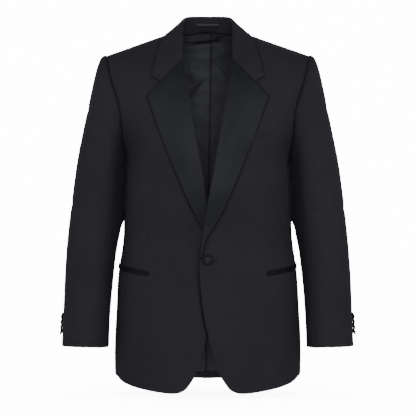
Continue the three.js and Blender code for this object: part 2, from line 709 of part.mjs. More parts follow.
// One row across a rolled edge: a leg turned in behind the cloth, the roll, and the leg that lies on it
function rolledRow({ line, handed, radius, turnIn, raise, legShares, cornerShare, lift }) {
  const on = (distance) => {
    const { x, z } = line.at(distance);
    return onFront(x, z, handed);
  };
  const bend = on(radius);
  const across = on(radius + 1).point.sub(on(radius - 1).point).normalize();
  const middle = bend.point.clone().addScaledVector(bend.normal, raise - WOOL / 2);
  const behind = [radius + turnIn, radius + LEG_STARTS.behind].map((distance) => {
    const { point, normal } = on(distance);
    return point.addScaledVector(normal, raise - WOOL / 2 - radius);
  });
  const roll = ROLL_TURNS.map((turn) => {
    const point = middle.clone().addScaledVector(across, -radius * Math.cos(degToRad(turn)));
    return point.addScaledVector(bend.normal, radius * Math.sin(degToRad(turn)));
  });
  const spring = Math.max(0, radius - WOOL / 2 + raise - LAPEL_LIFT);
  const begin = radius + LEG_STARTS.above;
  const end = Math.max(line.length, radius + 4);
  const corner = Math.max(line.first, lerp(begin, end, cornerShare));
  const leg = legShares.map((share) => {
    const inner = lerp(begin, corner, share / cornerShare);
    const outer = lerp(corner, end, (share - cornerShare) / (1 - cornerShare));
    const { point, normal } = on(share < cornerShare ? inner : outer);
    return point.addScaledVector(normal, LAPEL_LIFT + spring * (1 - share) ** 2 + lift(share, point));
  });
  return [...behind, ...roll, ...leg];
}

const LAPEL_NOTCH_SHARE = (NOTCH.x - ROLL_TOP.x) / (LAPEL_EDGE[0].x - ROLL_TOP.x);
const LAPEL_SHARES = [0, 0.12, 0.26, 0.4, 0.53, LAPEL_NOTCH_SHARE, 0.84, 1];
const NOTCH_RISE = NOTCH.z - lerp(ROLL_TOP.z, LAPEL_EDGE[0].z, LAPEL_NOTCH_SHARE);

function lapelRow(along, handed) {
  const startZ = lerp(ROLL_TOP.z, ROLL_BREAK_Z, along);
  const start = { x: rollX(startZ), z: startZ };
  const end = { x: lapelEdgeX(along), z: lapelEdgeZ(along) };
  const corner = {
    x: lerp(start.x, end.x, LAPEL_NOTCH_SHARE),
    z: lerp(start.z, end.z, LAPEL_NOTCH_SHARE) + NOTCH_RISE * (1 - smoothstep(along, 0, 0.25)),
  };
  const { from, to } = LAPEL_BELLY_ENDS;
  const belly = LAPEL_BELLY * (1 - smoothstep(along, from, to)) * smoothstep(along, -0.05, 0.1);
  return rolledRow({
    line: bentLine(start, corner, end),
    handed,
    radius: lerp(FOLD_RADIUS.top, FOLD_RADIUS.break, smoothstep(along, 0, 0.6)),
    turnIn: lerp(TURN_IN.top, TURN_IN.break, along),
    raise: 0,
    legShares: LAPEL_SHARES,
    cornerShare: LAPEL_NOTCH_SHARE,
    lift: (share, point) => {
      const bow = Math.sin(Math.PI * Math.min(1, share * 1.1));
      return belly * bow + weltLift(point.x, point.z, handed);
    },
  });
}

function lapel(handed) {
  const face = Array.from({ length: LAPEL_ROWS }, (_, i) => lapelRow(i / (LAPEL_ROWS - 1), handed));
  drawIn(face, { top: GORGE_GAP / 2 });
  return wall(mirrored(face, handed), mirrored(gridNormals(face), handed), WOOL);
}

// Collar

const foldEnd = onFront(ROLL_TOP.x, ROLL_TOP.z, -1);
foldEnd.point.addScaledVector(foldEnd.normal, -WOOL / 2);
const foldRows = [...COLLAR_FOLD, { along: 1, x: foldEnd.point.x, y: foldEnd.point.y, z: foldEnd.point.z }];
const foldAt = ["x", "y", "z"].map((name) => follow(foldRows, "along", name));
const foldPoint = (along) => new THREE.Vector3(...foldAt.map((value) => value(along)));
const collarEdgeX = follow(COLLAR_EDGE, "along", "x");
const collarEdgeOver = follow(COLLAR_EDGE, "along", "over");

const CONTACT_SOFTNESS = 0.4;

// Moves a point off the upper body until it clears the cloth below by the lift
function clearOfBody(point, lift) {
  const { x, y, z } = point;
  const behind = y > SHOULDER_Y;
  const exponent = archExponent(x, behind);
  const middle = new THREE.Vector3(x, SHOULDER_Y, CHEST_Z);
  let share = 1;
  const rounds = 6;
  for (let i = 0; i < rounds; i++) {
    const at = mixPoints(middle, point, share);
    const tall = Math.max(0, (at.z - CHEST_Z) / (ridge(x) - CHEST_Z));
    const reach = chestDepth(x, Math.min(1, tall), behind) - SHOULDER_Y;
    const deep = Math.max(0, (at.y - SHOULDER_Y) / reach);
    share /= (tall ** exponent + deep ** exponent) ** (1 / exponent);
  }
  const seat = mixPoints(middle, point, share);
  const normal = bodyNormal(seat, behind);
  const height = point.clone().sub(seat).dot(normal);
  return point.clone().addScaledVector(normal, softMax(height, lift, CONTACT_SOFTNESS) - height);
}

function collarEdgePoint(along) {
  const x = collarEdgeX(along);
  const over = collarEdgeOver(along);
  return clearOfBody(bodyPoint(x, heightOver(x, over), over > 1), LAPEL_LIFT);
}

const seamX = follow(COLLAR_SEAM_BACK, "along", "x");
const seamZ = follow(COLLAR_SEAM_FRONT, "along", "z");

// The neck seam, from the centre back over the shoulder to the top of the roll
function neckSeam(along) {
  if (along < 0.5) return bodyPoint(seamX(along), heightOver(seamX(along), backStart(seamX(along))), true);
  const z = seamZ(along);
  return bodyPoint(frontEdgeX(z), z, false);
}

const COLLAR_NOTCH_SHARE = (NOTCH.x - ROLL_TOP.x) / (COLLAR_POINT.x - ROLL_TOP.x);
const COLLAR_SHARES = [0.1, 0.28, 0.5, COLLAR_NOTCH_SHARE, 0.88, 1];
const COLLAR_ROWS = [0, 0.09, 0.18, 0.26, 0.33, 0.39, 0.45, 0.51, 0.57, 0.64, 0.71, 0.78, 0.84, 0.9, 0.95, 1];
const COLLAR_POINT_Z = heightOver(COLLAR_POINT.x, COLLAR_POINT.over);
const NOTCH_DROP = NOTCH.z - lerp(ROLL_TOP.z, COLLAR_POINT_Z, COLLAR_NOTCH_SHARE);
const STANDING_LIFT = LAPEL_LIFT + 0.8;
const LYING_EXTRA_LIFT = 0.5;

// Behind and beside the neck the collar stands up from its seam and falls back over it
function standingRow(along, fold, edge) {
  const step = 0.02;
  const run = foldPoint(Math.min(1, along + step)).sub(foldPoint(Math.max(0, along - step))).normalize();
  const seam = neckSeam(along);
  const inwards = new THREE.Vector3(-seam.x, NECK_CENTRE_Y - seam.y, 0).normalize();
  const inset = lerp(STAND_INSET.back, STAND_INSET.front, smoothstep(along, 0.45, 0.7));
  const foot = seam.clone().addScaledVector(inwards, inset);
  const radius = FOLD_RADIUS.top;
  const down = edge.clone().sub(fold).normalize().add(foot.clone().sub(fold).normalize());
  down.addScaledVector(run, -down.dot(run)).normalize();
  const outwards = run.clone().cross(down).normalize();
  const middle = fold.clone().addScaledVector(down, radius);
  const standTop = middle.clone().addScaledVector(outwards, -radius);
  const roll = ROLL_TURNS.map((turn) => {
    const point = middle.clone().addScaledVector(down, -radius * Math.cos(degToRad(turn)));
    return point.addScaledVector(outwards, radius * Math.sin(degToRad(turn)));
  });
  const legStart = middle.clone().addScaledVector(outwards, radius);
  const leg = COLLAR_SHARES.map((share) => {
    const bow = COLLAR_BELLY * Math.sin(Math.PI * share);
    return clearOfBody(mixPoints(legStart, edge, share).addScaledVector(outwards, bow), STANDING_LIFT);
  });
  return [foot, mixPoints(foot, standTop, 0.5), ...roll, ...leg];
}

// Towards its front ends it lies on the fronts and rolls like the lapels
function lyingRow(along, fold, edge) {
  const drop = NOTCH_DROP * smoothstep(along, COLLAR_DROP_FROM, 1);
  const corner = mixPoints(fold, edge, COLLAR_NOTCH_SHARE);
  corner.z += drop;
  const base = onFront(fold.x, fold.z, -1);
  return rolledRow({
    line: bentLine(fold, corner, edge),
    handed: -1,
    radius: FOLD_RADIUS.top,
    turnIn: 2,
    raise: fold.clone().sub(base.point).dot(base.normal) + WOOL / 2,
    legShares: COLLAR_SHARES,
    cornerShare: COLLAR_NOTCH_SHARE,
    lift: () => LYING_EXTRA_LIFT,
  });
}

function collarRow(along) {
  const fold = foldPoint(along);
  const edge = collarEdgePoint(along);
  const lying = smoothstep(along, COLLAR_LIES.from, COLLAR_LIES.to);
  if (lying === 0) return standingRow(along, fold, edge);
  const flat = lyingRow(along, fold, edge);
  if (lying === 1) return flat;
  return standingRow(along, fold, edge).map((point, i) => point.lerp(flat[i], lying));
}

function collar() {
  const half = COLLAR_ROWS.map(collarRow);
  drawIn(half, { bottom: GORGE_GAP / 2 });
  const other = half.slice(1).map((row) => row.map((p) => new THREE.Vector3(-p.x, p.y, p.z)));
  const face = [...other.reverse(), ...half];
  return wall(face, gridNormals(face), WOOL);
}

// Trims

function strip(points, normals, lift, thickness) {
  const face = points.map((row, i) => row.map((p, j) => p.clone().addScaledVector(normals[i][j], lift)));
  return wall(face, normals, thickness);
}

const POCKET_START = THREE.MathUtils.radToDeg(
  Math.asin((HIP_POCKET.frontX / halfAt(HIP_POCKET.frontZ)) ** (SQUARENESS / 2)),
);

// One of a hip pocket's two satin jets, which runs back round the hip
function jet(handed, upper) {
  const { frontZ, backZ, endShare, jet: height, slit } = HIP_POCKET;
  const low = upper ? slit / 2 : -slit / 2 - height;
  const place = (u, v) => ({
    angle: lerp(POCKET_START, 90 * endShare, u),
    z: lerp(frontZ, backZ, u) + low + height * v,
  });
  const columns = 12;
  const points = gridOf(columns, 2, (u, v) => sectionPoint(place(u, v).angle, place(u, v).z));
  const normals = gridOf(columns, 2, (u, v) => sectionNormal(place(u, v).angle, place(u, v).z));
  return strip(mirrored(points, handed), mirrored(normals, handed), SATIN + SEAM_GAP, SATIN);
}

// The chest pocket's welt, whose inner end is under the left lapel
function welt() {
  const { x0, x1, topZ, height, drop, lift } = CHEST_POCKET;
  const [columns, rows] = [8, 4];
  const place = (u, v) => bodyPoint(lerp(x0, x1, u), topZ - drop * u - height * v, false);
  const points = gridOf(columns, rows, place);
  const normals = points.map((row) => row.map((p) => bodyNormal(p, false)));
  return strip(points, normals, SATIN + lift, SATIN);
}

// A covered button's dome, as shares of its radius and height
const BUTTON_DOME = [
  [0.86, 0],
  [1, 0.3],
  [0.93, 0.62],
  [0.6, 0.93],
  [0, 1],
];

// A cloth-covered button with its shank, standing on the plane y = 0 and facing +Y
function buttonGeometry({ radius, height }, shank, segments) {
  const dome = BUTTON_DOME.map(([r, h]) => [radius * r, shank + height * h]);
  const profile = [[0, 0], [SHANK_RADIUS, 0], [SHANK_RADIUS, shank], ...dome];
  return new THREE.LatheGeometry(profile.map(([r, h]) => new THREE.Vector2(r, h)), segments);
}

function frontButton() {
  const { point, normal } = onFront(0, FRONT_BUTTON.z, 1);
  const mesh = new THREE.Mesh(buttonGeometry(FRONT_BUTTON, FRONT_BUTTON.shank, FRONT_BUTTON.segments));
  mesh.position.copy(point.addScaledVector(normal, SEAM_GAP));
  mesh.quaternion.setFromUnitVectors(new THREE.Vector3(0, 1, 0), normal);
  return mesh;
}

// Sleeve buttons lie like roof tiles, each one's lower edge standing out over the next
function cuffButton(handed, index) {
  const { tilt, radius, segments } = CUFF_BUTTON;
  const station = stationAtHeight(CUFF_BUTTONS.lowestZ + CUFF_BUTTONS.spacing * index, 0);
  const round = backSeam(station) + CUFF_BUTTONS_FROM_SEAM;
  const seat = sleevePoint(round, station);
  const normal = sleeveNormal(round, station);
  const step = 0.2;
  const up = sleevePoint(round, station - step).sub(sleevePoint(round, station + step)).normalize();
  const lean = degToRad(tilt);
  const facing = normal.clone().multiplyScalar(Math.cos(lean)).addScaledVector(up, Math.sin(lean));
  const shank = radius * Math.sin(lean) + 2 * CUFF_BUTTON_SLACK;
  const clearance = SEAM_GAP + SHANK_RADIUS * Math.sin(lean) + CUFF_BUTTON_SLACK;
  const mesh = new THREE.Mesh(buttonGeometry(CUFF_BUTTON, shank, segments));
  const place = seat.addScaledVector(normal, clearance).addScaledVector(up, -shank * Math.sin(lean));
  mesh.position.set(place.x * handed, place.y, place.z);
  facing.x *= handed;
  mesh.quaternion.setFromUnitVectors(new THREE.Vector3(0, 1, 0), facing);
  return mesh;
}

// The station where the line down the sleeve at this angle passes a height, found by halving
function stationAtHeight(z, angle) {
  const rounds = 30;
  let [low, high] = [0, LAST_STATION];
  for (let i = 0; i < rounds; i++) {
    const middle = (low + high) / 2;
    if (sleevePoint(angle, middle).z > z) low = middle;
    else high = middle;
  }
  return (low + high) / 2;
}

// The loop inside the collar stand, which bows away from it between its sewn ends
function hangerLoop() {
  const { half, z, height, bow, roundness, clearance } = HANGER_LOOP;
  const columns = 13;
  const collarAlong = 150; // millimetres across the back of the neck for the collar's whole share
  const points = gridOf(columns, 2, (u, v) => {
    const x = lerp(-half, half, u);
    const [foot, , standTop] = collarRow(Math.abs(x) / collarAlong);
    const standFace = mixPoints(foot, standTop, clamp((z - foot.z) / (standTop.z - foot.z), 0, 1));
    const off = LINING + clearance + bow * Math.sin(Math.PI * u) ** roundness;
    return new THREE.Vector3(x, standFace.y - off, z + height * (0.5 - v));
  });
  const normals = points.map((row) => row.map(() => new THREE.Vector3(0, -1, 0)));
  return wall(points, normals, LINING);
}

// Assembly

const materials = {};
for (const [name, look] of Object.entries(COLOURS)) {
  materials[name] = new THREE.MeshStandardMaterial({ ...look, metalness: 0 });
}

const jacket = new THREE.Group();

function add(name, shape, material) {
  const mesh = shape.isMesh ? shape : new THREE.Mesh(shape);
  mesh.name = name;
  mesh.material = materials[material];
  jacket.add(mesh);
}

for (const [word, handed] of [["left", 1], ["right", -1]]) {
  add(`front_${word}`, front(handed), "wool");
  add(`side_${word}`, side(handed), "wool");
  add(`back_${word}`, back(handed), "wool");
  add(`lining_back_${word}`, lining(handed), "lining");
  add(`top_sleeve_${word}`, topSleeve(handed), "wool");
  add(`under_sleeve_${word}`, underSleeve(handed), "wool");
  add(`lapel_${word}`, lapel(handed), "satin");
  add(`jet_upper_${word}`, jet(handed, true), "satin");
  add(`jet_lower_${word}`, jet(handed, false), "satin");
  for (let i = 0; i < CUFF_BUTTONS.count; i++) {
    add(`cuff_button_${word}_${i + 1}`, cuffButton(handed, i), "satin");
  }
}
add("collar", collar(), "wool");
add("welt_chest", welt(), "wool");
add("button_front", frontButton(), "satin");
add("hanger_loop", hangerLoop(), "lining");

export default jacket;
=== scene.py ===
"""Looks of a black dinner jacket, filled out as if worn: wool shells, satin lapels and trims, a crinkled lining."""

import math

import bmesh
import bpy
import numpy as np
from mathutils import Matrix, Vector
from mathutils.kdtree import KDTree


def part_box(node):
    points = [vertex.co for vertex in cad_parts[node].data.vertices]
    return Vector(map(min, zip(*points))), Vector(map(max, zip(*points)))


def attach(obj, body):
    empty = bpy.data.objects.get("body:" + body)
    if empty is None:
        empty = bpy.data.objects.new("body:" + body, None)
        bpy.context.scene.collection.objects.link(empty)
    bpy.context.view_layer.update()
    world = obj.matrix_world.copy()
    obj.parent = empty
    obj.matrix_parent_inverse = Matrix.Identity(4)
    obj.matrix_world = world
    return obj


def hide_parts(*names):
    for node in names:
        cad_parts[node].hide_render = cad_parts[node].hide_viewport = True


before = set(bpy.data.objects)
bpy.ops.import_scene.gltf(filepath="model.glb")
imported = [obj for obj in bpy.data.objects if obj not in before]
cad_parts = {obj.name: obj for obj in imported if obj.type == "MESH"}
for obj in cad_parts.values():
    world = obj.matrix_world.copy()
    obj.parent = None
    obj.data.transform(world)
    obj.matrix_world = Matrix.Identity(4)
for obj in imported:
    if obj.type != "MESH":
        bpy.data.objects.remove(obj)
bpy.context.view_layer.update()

MM = 0.001
SIDES = {"left": 1, "right": -1}
SHARP = 0.7  # radians: a wall's rims are the edges that turn more than this
FINE_SHARP = 0.35  # the same once the rims are rounded
WELD = 2e-6
SEWN_WITHIN = 2.6 * MM  # rims closer than this belong to one seam
ARMHOLE_SEWN_WITHIN = 3.5 * MM
ARMHOLE_WITHIN = 6 * MM  # a sleeve's edge is this close to the armhole that it is sewn into
ARMHOLE_EASE = 14 * MM
LIP = 2.2 * MM
LEAN_FROM = -0.235
LEAN_TO = -0.424
LEAN_EASE = 0.022
LEAN_ROW = 0.006
LEAN_PRESS = 1.8 * MM
# Painted shade where sleeve and body hang together: it starts at CONTACT_TOP, is full from CONTACT_FULL and is
# CONTACT_WIDTH wide
CONTACT_TOP = -0.17
CONTACT_FULL = -0.30
CONTACT_WIDTH = 7  # mm
NEAR_SLEEVE = {"width": 40, "shade": 0.42}  # the body's soft painted shade beside a sleeve, mm
LEAN_DEPTH = -0.012  # only what is further back than this leans, so the front stays round
LEAN_SLOPE = 0.022
FITTING_ROUNDS = 4

# Middle line of the left sleeve, by height, in mm
SLEEVE_LINE = {
    "z": [-682, -560, -440, -300, -160, -44],
    "x": [267, 262, 253, 238, 224, 205],
    "y": [-34, -24, -13, -8, -6, -3],
}
# Half width and half depth of the body's sections, by height, in mm
BODY_LINE = {
    "z": [-777, -680, -560, -470, -422, -330, -272, -160, 10],
    "half": [202, 202, 196, 188, 184, 184, 183, 200, 222],
    "middle": [6, 2, -2, -6, -9, -8, -7, 0, 5],
    "depth": [104, 110, 112, 111, 113, 129, 131, 118, 70],
}
SHOULDER_FROM = -170  # above this the body's surface starts to turn up to the shoulders

# Soft creases: where they run, seen square on from that side, in mm. across is x, or y seen from beside.
# bow pushes the middle sideways, width is half the trough's width, depth is negative for a ridge.
CREASES = [
    # Left front: drag from the chest to the lapel, and round the button
    {"view": "front", "from": (168, -232), "to": (104, -272), "bow": 6, "width": 13, "depth": 1.3},
    {"view": "front", "from": (172, -268), "to": (92, -318), "bow": 9, "width": 11, "depth": 0.9},
    {"view": "front", "from": (150, -318), "to": (70, -366), "bow": -6, "width": 14, "depth": 0.8},
    {"view": "front", "from": (112, -470), "to": (16, -488), "bow": 4, "width": 10, "depth": 0.9},
    {"view": "front", "from": (96, -508), "to": (14, -494), "bow": -5, "width": 9, "depth": 0.7},
    {"view": "front", "from": (70, -548), "to": (42, -652), "bow": 7, "width": 16, "depth": 0.9},
    {"view": "front", "from": (152, -556), "to": (146, -700), "bow": -5, "width": 17, "depth": 1.7},
    # Right front
    {"view": "front", "from": (-162, -222), "to": (-112, -262), "bow": -5, "width": 12, "depth": 1.1},
    {"view": "front", "from": (-170, -292), "to": (-98, -330), "bow": -8, "width": 12, "depth": 0.8},
    {"view": "front", "from": (-106, -462), "to": (-32, -490), "bow": 5, "width": 11, "depth": 0.9},
    {"view": "front", "from": (-88, -520), "to": (-34, -500), "bow": 4, "width": 9, "depth": 0.6},
    {"view": "front", "from": (-64, -560), "to": (-58, -680), "bow": -6, "width": 18, "depth": 0.9},
    {"view": "front", "from": (-150, -548), "to": (-150, -690), "bow": 6, "width": 18, "depth": 1.8},
    # Back: under the collar, from the shoulder blades to the waist, and the skirt
    {"view": "back", "from": (-62, -34), "to": (58, -30), "bow": -9, "width": 9, "depth": 1.2},
    {"view": "back", "from": (-96, -66), "to": (84, -72), "bow": -12, "width": 13, "depth": 0.9},
    {"view": "back", "from": (150, -120), "to": (136, -262), "bow": 9, "width": 13, "depth": 1.7},
    {"view": "back", "from": (-146, -112), "to": (-140, -250), "bow": -8, "width": 14, "depth": 1.5},
    {"view": "back", "from": (120, -300), "to": (60, -352), "bow": 7, "width": 12, "depth": 0.9},
    {"view": "back", "from": (-128, -318), "to": (-52, -372), "bow": -6, "width": 13, "depth": 1.0},
    {"view": "back", "from": (126, -412), "to": (20, -430), "bow": 5, "width": 11, "depth": 1.0},
    {"view": "back", "from": (-110, -430), "to": (-16, -446), "bow": 6, "width": 10, "depth": 0.8},
    {"view": "back", "from": (82, -520), "to": (90, -700), "bow": -7, "width": 20, "depth": 1.5},
    {"view": "back", "from": (-74, -510), "to": (-96, -690), "bow": 8, "width": 19, "depth": 1.4},
    {"view": "back", "from": (156, -560), "to": (164, -716), "bow": 5, "width": 15, "depth": 1.2},
    {"view": "back", "from": (-160, -540), "to": (-158, -720), "bow": -4, "width": 16, "depth": 1.3},
]
# The same on the sleeves; front and back are seen square on, outer from the sleeve's own side with y across
SLEEVE_CREASES = [
    {"side": 1, "view": "front", "from": (300, -232), "to": (236, -262), "bow": 8, "width": 11, "depth": 1.3},
    {"side": 1, "view": "front", "from": (286, -196), "to": (222, -206), "bow": 6, "width": 12, "depth": 0.9},
    {"side": 1, "view": "front", "from": (302, -322), "to": (216, -338), "bow": -8, "width": 13, "depth": 1.2},
    {"side": 1, "view": "front", "from": (300, -392), "to": (214, -374), "bow": 9, "width": 10, "depth": 1.2},
    {"side": 1, "view": "front", "from": (306, -452), "to": (226, -428), "bow": 7, "width": 12, "depth": 0.9},
    {"side": 1, "view": "front", "from": (252, -520), "to": (258, -640), "bow": 6, "width": 16, "depth": 0.9},
    {"side": 1, "view": "back", "from": (296, -280), "to": (220, -318), "bow": -9, "width": 12, "depth": 1.7},
    {"side": 1, "view": "back", "from": (302, -360), "to": (214, -392), "bow": 8, "width": 10, "depth": 1.9},
    {"side": 1, "view": "back", "from": (300, -404), "to": (226, -428), "bow": 6, "width": 9, "depth": 1.4},
    {"side": 1, "view": "back", "from": (306, -500), "to": (236, -520), "bow": -5, "width": 13, "depth": 1.0},
    {"side": 1, "view": "outer", "from": (-46, -150), "to": (26, -188), "bow": 7, "width": 13, "depth": 1.1},
    {"side": 1, "view": "outer", "from": (-40, -382), "to": (34, -356), "bow": -7, "width": 10, "depth": 1.4},
    {"side": -1, "view": "front", "from": (-296, -218), "to": (-240, -240), "bow": -7, "width": 12, "depth": 1.0},
    {"side": -1, "view": "front", "from": (-302, -300), "to": (-214, -330), "bow": -9, "width": 12, "depth": 1.2},
    {"side": -1, "view": "front", "from": (-300, -378), "to": (-212, -362), "bow": -7, "width": 11, "depth": 1.3},
    {"side": -1, "view": "front", "from": (-304, -436), "to": (-222, -414), "bow": -8, "width": 11, "depth": 0.8},
    {"side": -1, "view": "front", "from": (-262, -500), "to": (-266, -628), "bow": -5, "width": 17, "depth": 0.8},
    {"side": -1, "view": "back", "from": (-294, -262), "to": (-222, -296), "bow": 8, "width": 13, "depth": 1.6},
    {"side": -1, "view": "back", "from": (-302, -350), "to": (-212, -384), "bow": -8, "width": 10, "depth": 1.8},
    {"side": -1, "view": "back", "from": (-302, -398), "to": (-228, -420), "bow": -6, "width": 10, "depth": 1.3},
    {"side": -1, "view": "back", "from": (-304, -486), "to": (-238, -512), "bow": 6, "width": 12, "depth": 0.9},
    {"side": -1, "view": "outer", "from": (-50, -158), "to": (20, -180), "bow": 6, "width": 12, "depth": 1.0},
    {"side": -1, "view": "outer", "from": (-38, -370), "to": (36, -350), "bow": -8, "width": 11, "depth": 1.3},
]
# Creases of the lining, seen through the neck and under the fronts' quarters
LINING_CREASES = [
    {"view": "back", "from": (-92, -14), "to": (44, -4), "bow": -3, "width": 4.5, "depth": -4.4},
    {"view": "back", "from": (12, -6), "to": (64, 8), "bow": 3, "width": 5, "depth": -2.6},
    {"view": "back", "from": (-42, -134), "to": (-6, -92), "bow": 2, "width": 3.2, "depth": -4.6},
    {"view": "back", "from": (-20, -96), "to": (4, -82), "bow": 3, "width": 4, "depth": 1.6},
    {"view": "back", "from": (12, -50), "to": (44, -92), "bow": 5, "width": 6, "depth": -1.0},
    {"view": "back", "from": (-40, -60), "to": (-24, -110), "bow": -4, "width": 6, "depth": -0.8},
    {"view": "back", "from": (18, -210), "to": (30, -300), "bow": 4, "width": 7, "depth": -1.0},
    {"view": "back", "from": (-26, -224), "to": (-12, -318), "bow": -4, "width": 6, "depth": -1.0},
    {"view": "back", "from": (-30, -190), "to": (26, -205), "bow": 4, "width": 5, "depth": -0.7},
    {"view": "back", "from": (-36, -690), "to": (60, -700), "bow": 3, "width": 6, "depth": -1.6},
    {"view": "back", "from": (-30, -712), "to": (50, -716), "bow": -3, "width": 4, "depth": -1.2},
]
# Darts: narrow sewn lines on the fronts, in mm
DARTS = [
    {"view": "front", "from": (133, -352), "to": (134, -508), "bow": -2, "width": 3.0, "depth": 0.75},
    {"view": "front", "from": (-136, -352), "to": (-137, -508), "bow": 2, "width": 3.0, "depth": 0.75},
]
# The straight line that a lapel rolls over, seen from the front: where it starts, and x by z from there
ROLL = {"x": 53.5, "z": -56, "slope": 0.1735, "width": 7}
UNDER_TAIL = 0.5
LAPEL_TAIL = {"from_z": -0.418, "length": 0.033, "narrower": 0.74, "longer": 0.034}
VIEW_AXES = {"front": (0, 1, -1), "back": (0, 1, 1), "outer": (1, 0, 1)}  # across, facing, sign of the facing


def sleeve_axis(p):
    """Middle of the sleeve at each point's height, in mm, for points in mm."""
    side = np.sign(p[:, 0])
    z = p[:, 2]
    x = np.interp(z, SLEEVE_LINE["z"], SLEEVE_LINE["x"]) * side
    y = np.interp(z, SLEEVE_LINE["z"], SLEEVE_LINE["y"])
    return np.stack([x, y, np.minimum(z, SHOULDER_FROM)], 1)


def outward(p, sleeve):
    """Direction out of the body or sleeve at each point, in mm; it changes smoothly, so a wall moves as one."""
    if sleeve:
        away = p - sleeve_axis(p)
    else:
        z = p[:, 2]
        half = np.interp(z, BODY_LINE["z"], BODY_LINE["half"])
        depth = np.interp(z, BODY_LINE["z"], BODY_LINE["depth"])
        middle = np.interp(z, BODY_LINE["z"], BODY_LINE["middle"])
        x = p[:, 0] / half
        y = (p[:, 1] - middle) / depth
        rise = np.clip((z - SHOULDER_FROM) / (0 - SHOULDER_FROM), 0, 1.2)
        away = np.stack([np.sign(x) * np.abs(x) ** 2.4 / half, y / depth, 1.1 * rise ** 2 / depth], 1)
    return away / np.maximum(np.linalg.norm(away, axis=1, keepdims=True), 1e-9)


def crease_depth(p, out, crease):
    """How far one crease moves each point, in mm; a trough has a low ridge along each side."""
    across, facing, sign = VIEW_AXES[crease["view"]]
    side = crease.get("side", 0)
    sign = sign * side if crease["view"] == "outer" else sign
    a = np.array(crease["from"], float)
    b = np.array(crease["to"], float)
    q = p[:, [across, 2]]
    along = (b - a) / np.linalg.norm(b - a)
    t = (q - a) @ along / np.linalg.norm(b - a)
    bend = crease["bow"] * np.sin(np.pi * np.clip(t, 0, 1))
    off = (q - a) @ np.array([-along[1], along[0]]) - bend
    ends = np.clip((t + 0.12) / 0.45, 0, 1) * np.clip((1.12 - t) / 0.45, 0, 1)
    ends = ends * ends * (3 - 2 * ends)
    r = (off / crease["width"]) ** 2
    facing_share = np.clip(out[:, facing] * sign * 1.6, 0, 1)
    if side:
        facing_share = facing_share * (p[:, 0] * side > 0)
    return -crease["depth"] * (1 - 0.7 * r) * np.exp(-r) * ends * facing_share


def unevenness(p, amount, length):
    """Slow hand-made looking waves, in mm, the same on every run."""
    waves = [(1.0, 0.3, 0.8, 0.4, 1.0), (-0.5, 0.9, 0.6, 2.1, 0.8), (0.3, -0.7, 1.3, 4.0, 0.6), (1.7, 0.6, -0.9, 1.3, 0.4)]
    total = 0
    for x, y, z, phase, size in waves:
        total = total + size * np.sin((p @ np.array([x, y, z])) * 2 * math.pi / length + phase)
    return amount * total / len(waves)


def drape(p, sleeve, extra=()):
    """Moves points, in metres, by the creases of the cloth that they belong to."""
    mm = p / MM
    out = outward(mm, sleeve)
    creases = [*(SLEEVE_CREASES if sleeve else CREASES), *extra]
    total = unevenness(mm, 0.5, 170)
    for crease in creases:
        total = total + crease_depth(mm, out, crease)
    return p + out * total[:, None] * MM


def coordinates(mesh):
    co = np.empty(len(mesh.vertices) * 3)
    mesh.vertices.foreach_get("co", co)
    return co.reshape(-1, 3)


def set_coordinates(mesh, co):
    mesh.vertices.foreach_set("co", co.ravel())
    mesh.update()


def link(name, mesh):
    made = bpy.data.objects.new(name, mesh)
    bpy.context.scene.collection.objects.link(made)
    return made


def welded(node):
    """The CAD node's mesh as one closed surface of mostly four-sided faces."""
    bm = bmesh.new()
    bm.from_mesh(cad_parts[node].data)
    bmesh.ops.remove_doubles(bm, verts=bm.verts, dist=WELD)
    bmesh.ops.join_triangles(
        bm, faces=bm.faces, angle_face_threshold=0.55, angle_shape_threshold=3.1, topology_influence=1.0
    )
    return bm


def rim_points(mesh):
    """Points along a fine wall's rounded rims, where neighbouring faces turn sharply."""
    normals = np.empty(len(mesh.polygons) * 3)
    mesh.polygons.foreach_get("normal", normals)
    totals = np.empty(len(mesh.polygons), int)
    mesh.polygons.foreach_get("loop_total", totals)
    edge_of_loop = np.empty(len(mesh.loops), int)
    mesh.loops.foreach_get("edge_index", edge_of_loop)
    face_of_loop = np.repeat(np.arange(len(mesh.polygons)), totals)
    order = np.argsort(edge_of_loop, kind="stable")
    pairs = face_of_loop[order].reshape(-1, 2)
    normals = normals.reshape(-1, 3)
    turn = (normals[pairs[:, 0]] * normals[pairs[:, 1]]).sum(1)
    ends = np.empty(len(mesh.edges) * 2, int)
    mesh.edges.foreach_get("vertices", ends)
    sharp = ends.reshape(-1, 2)[turn < math.cos(FINE_SHARP)]
    return coordinates(mesh)[np.unique(sharp)]


def tree_of(points):
    tree = KDTree(len(points))
    for i, p in enumerate(points):
        tree.insert(p, i)
    tree.balance()
    return tree


def sewn_points(node, rims, of_sleeve):
    """This piece's rim points that another piece of the body, or of a sleeve, is sewn to."""
    near = [rim for name, rim in rims.items() if name != node and ("sleeve" in name) == of_sleeve]
    others = tree_of(np.concatenate(near))
    within = SEWN_WITHIN if ("sleeve" in node) == of_sleeve else ARMHOLE_SEWN_WITHIN
    found = [p for p in rims[node] if others.find(p)[2] < within]
    return np.array(found).reshape(-1, 3)


def distances(co, edge):
    """How far each point is from a set of edge points, in mm."""
    if len(edge) == 0:
        return np.full(len(co), 1000.0)
    tree = tree_of(edge)
    return np.array([tree.find(p)[2] for p in co]) / MM


def seam_sink(far, depth=0.7, width=2.4):
    """How far the cloth rolls down into a seam, in mm, with a low swell beside it."""
    swell = 0.3 * depth * np.exp(-(((far - 2.6 * width) / (1.4 * width)) ** 2))
    return swell - depth * np.exp(-((far / width) ** 2))


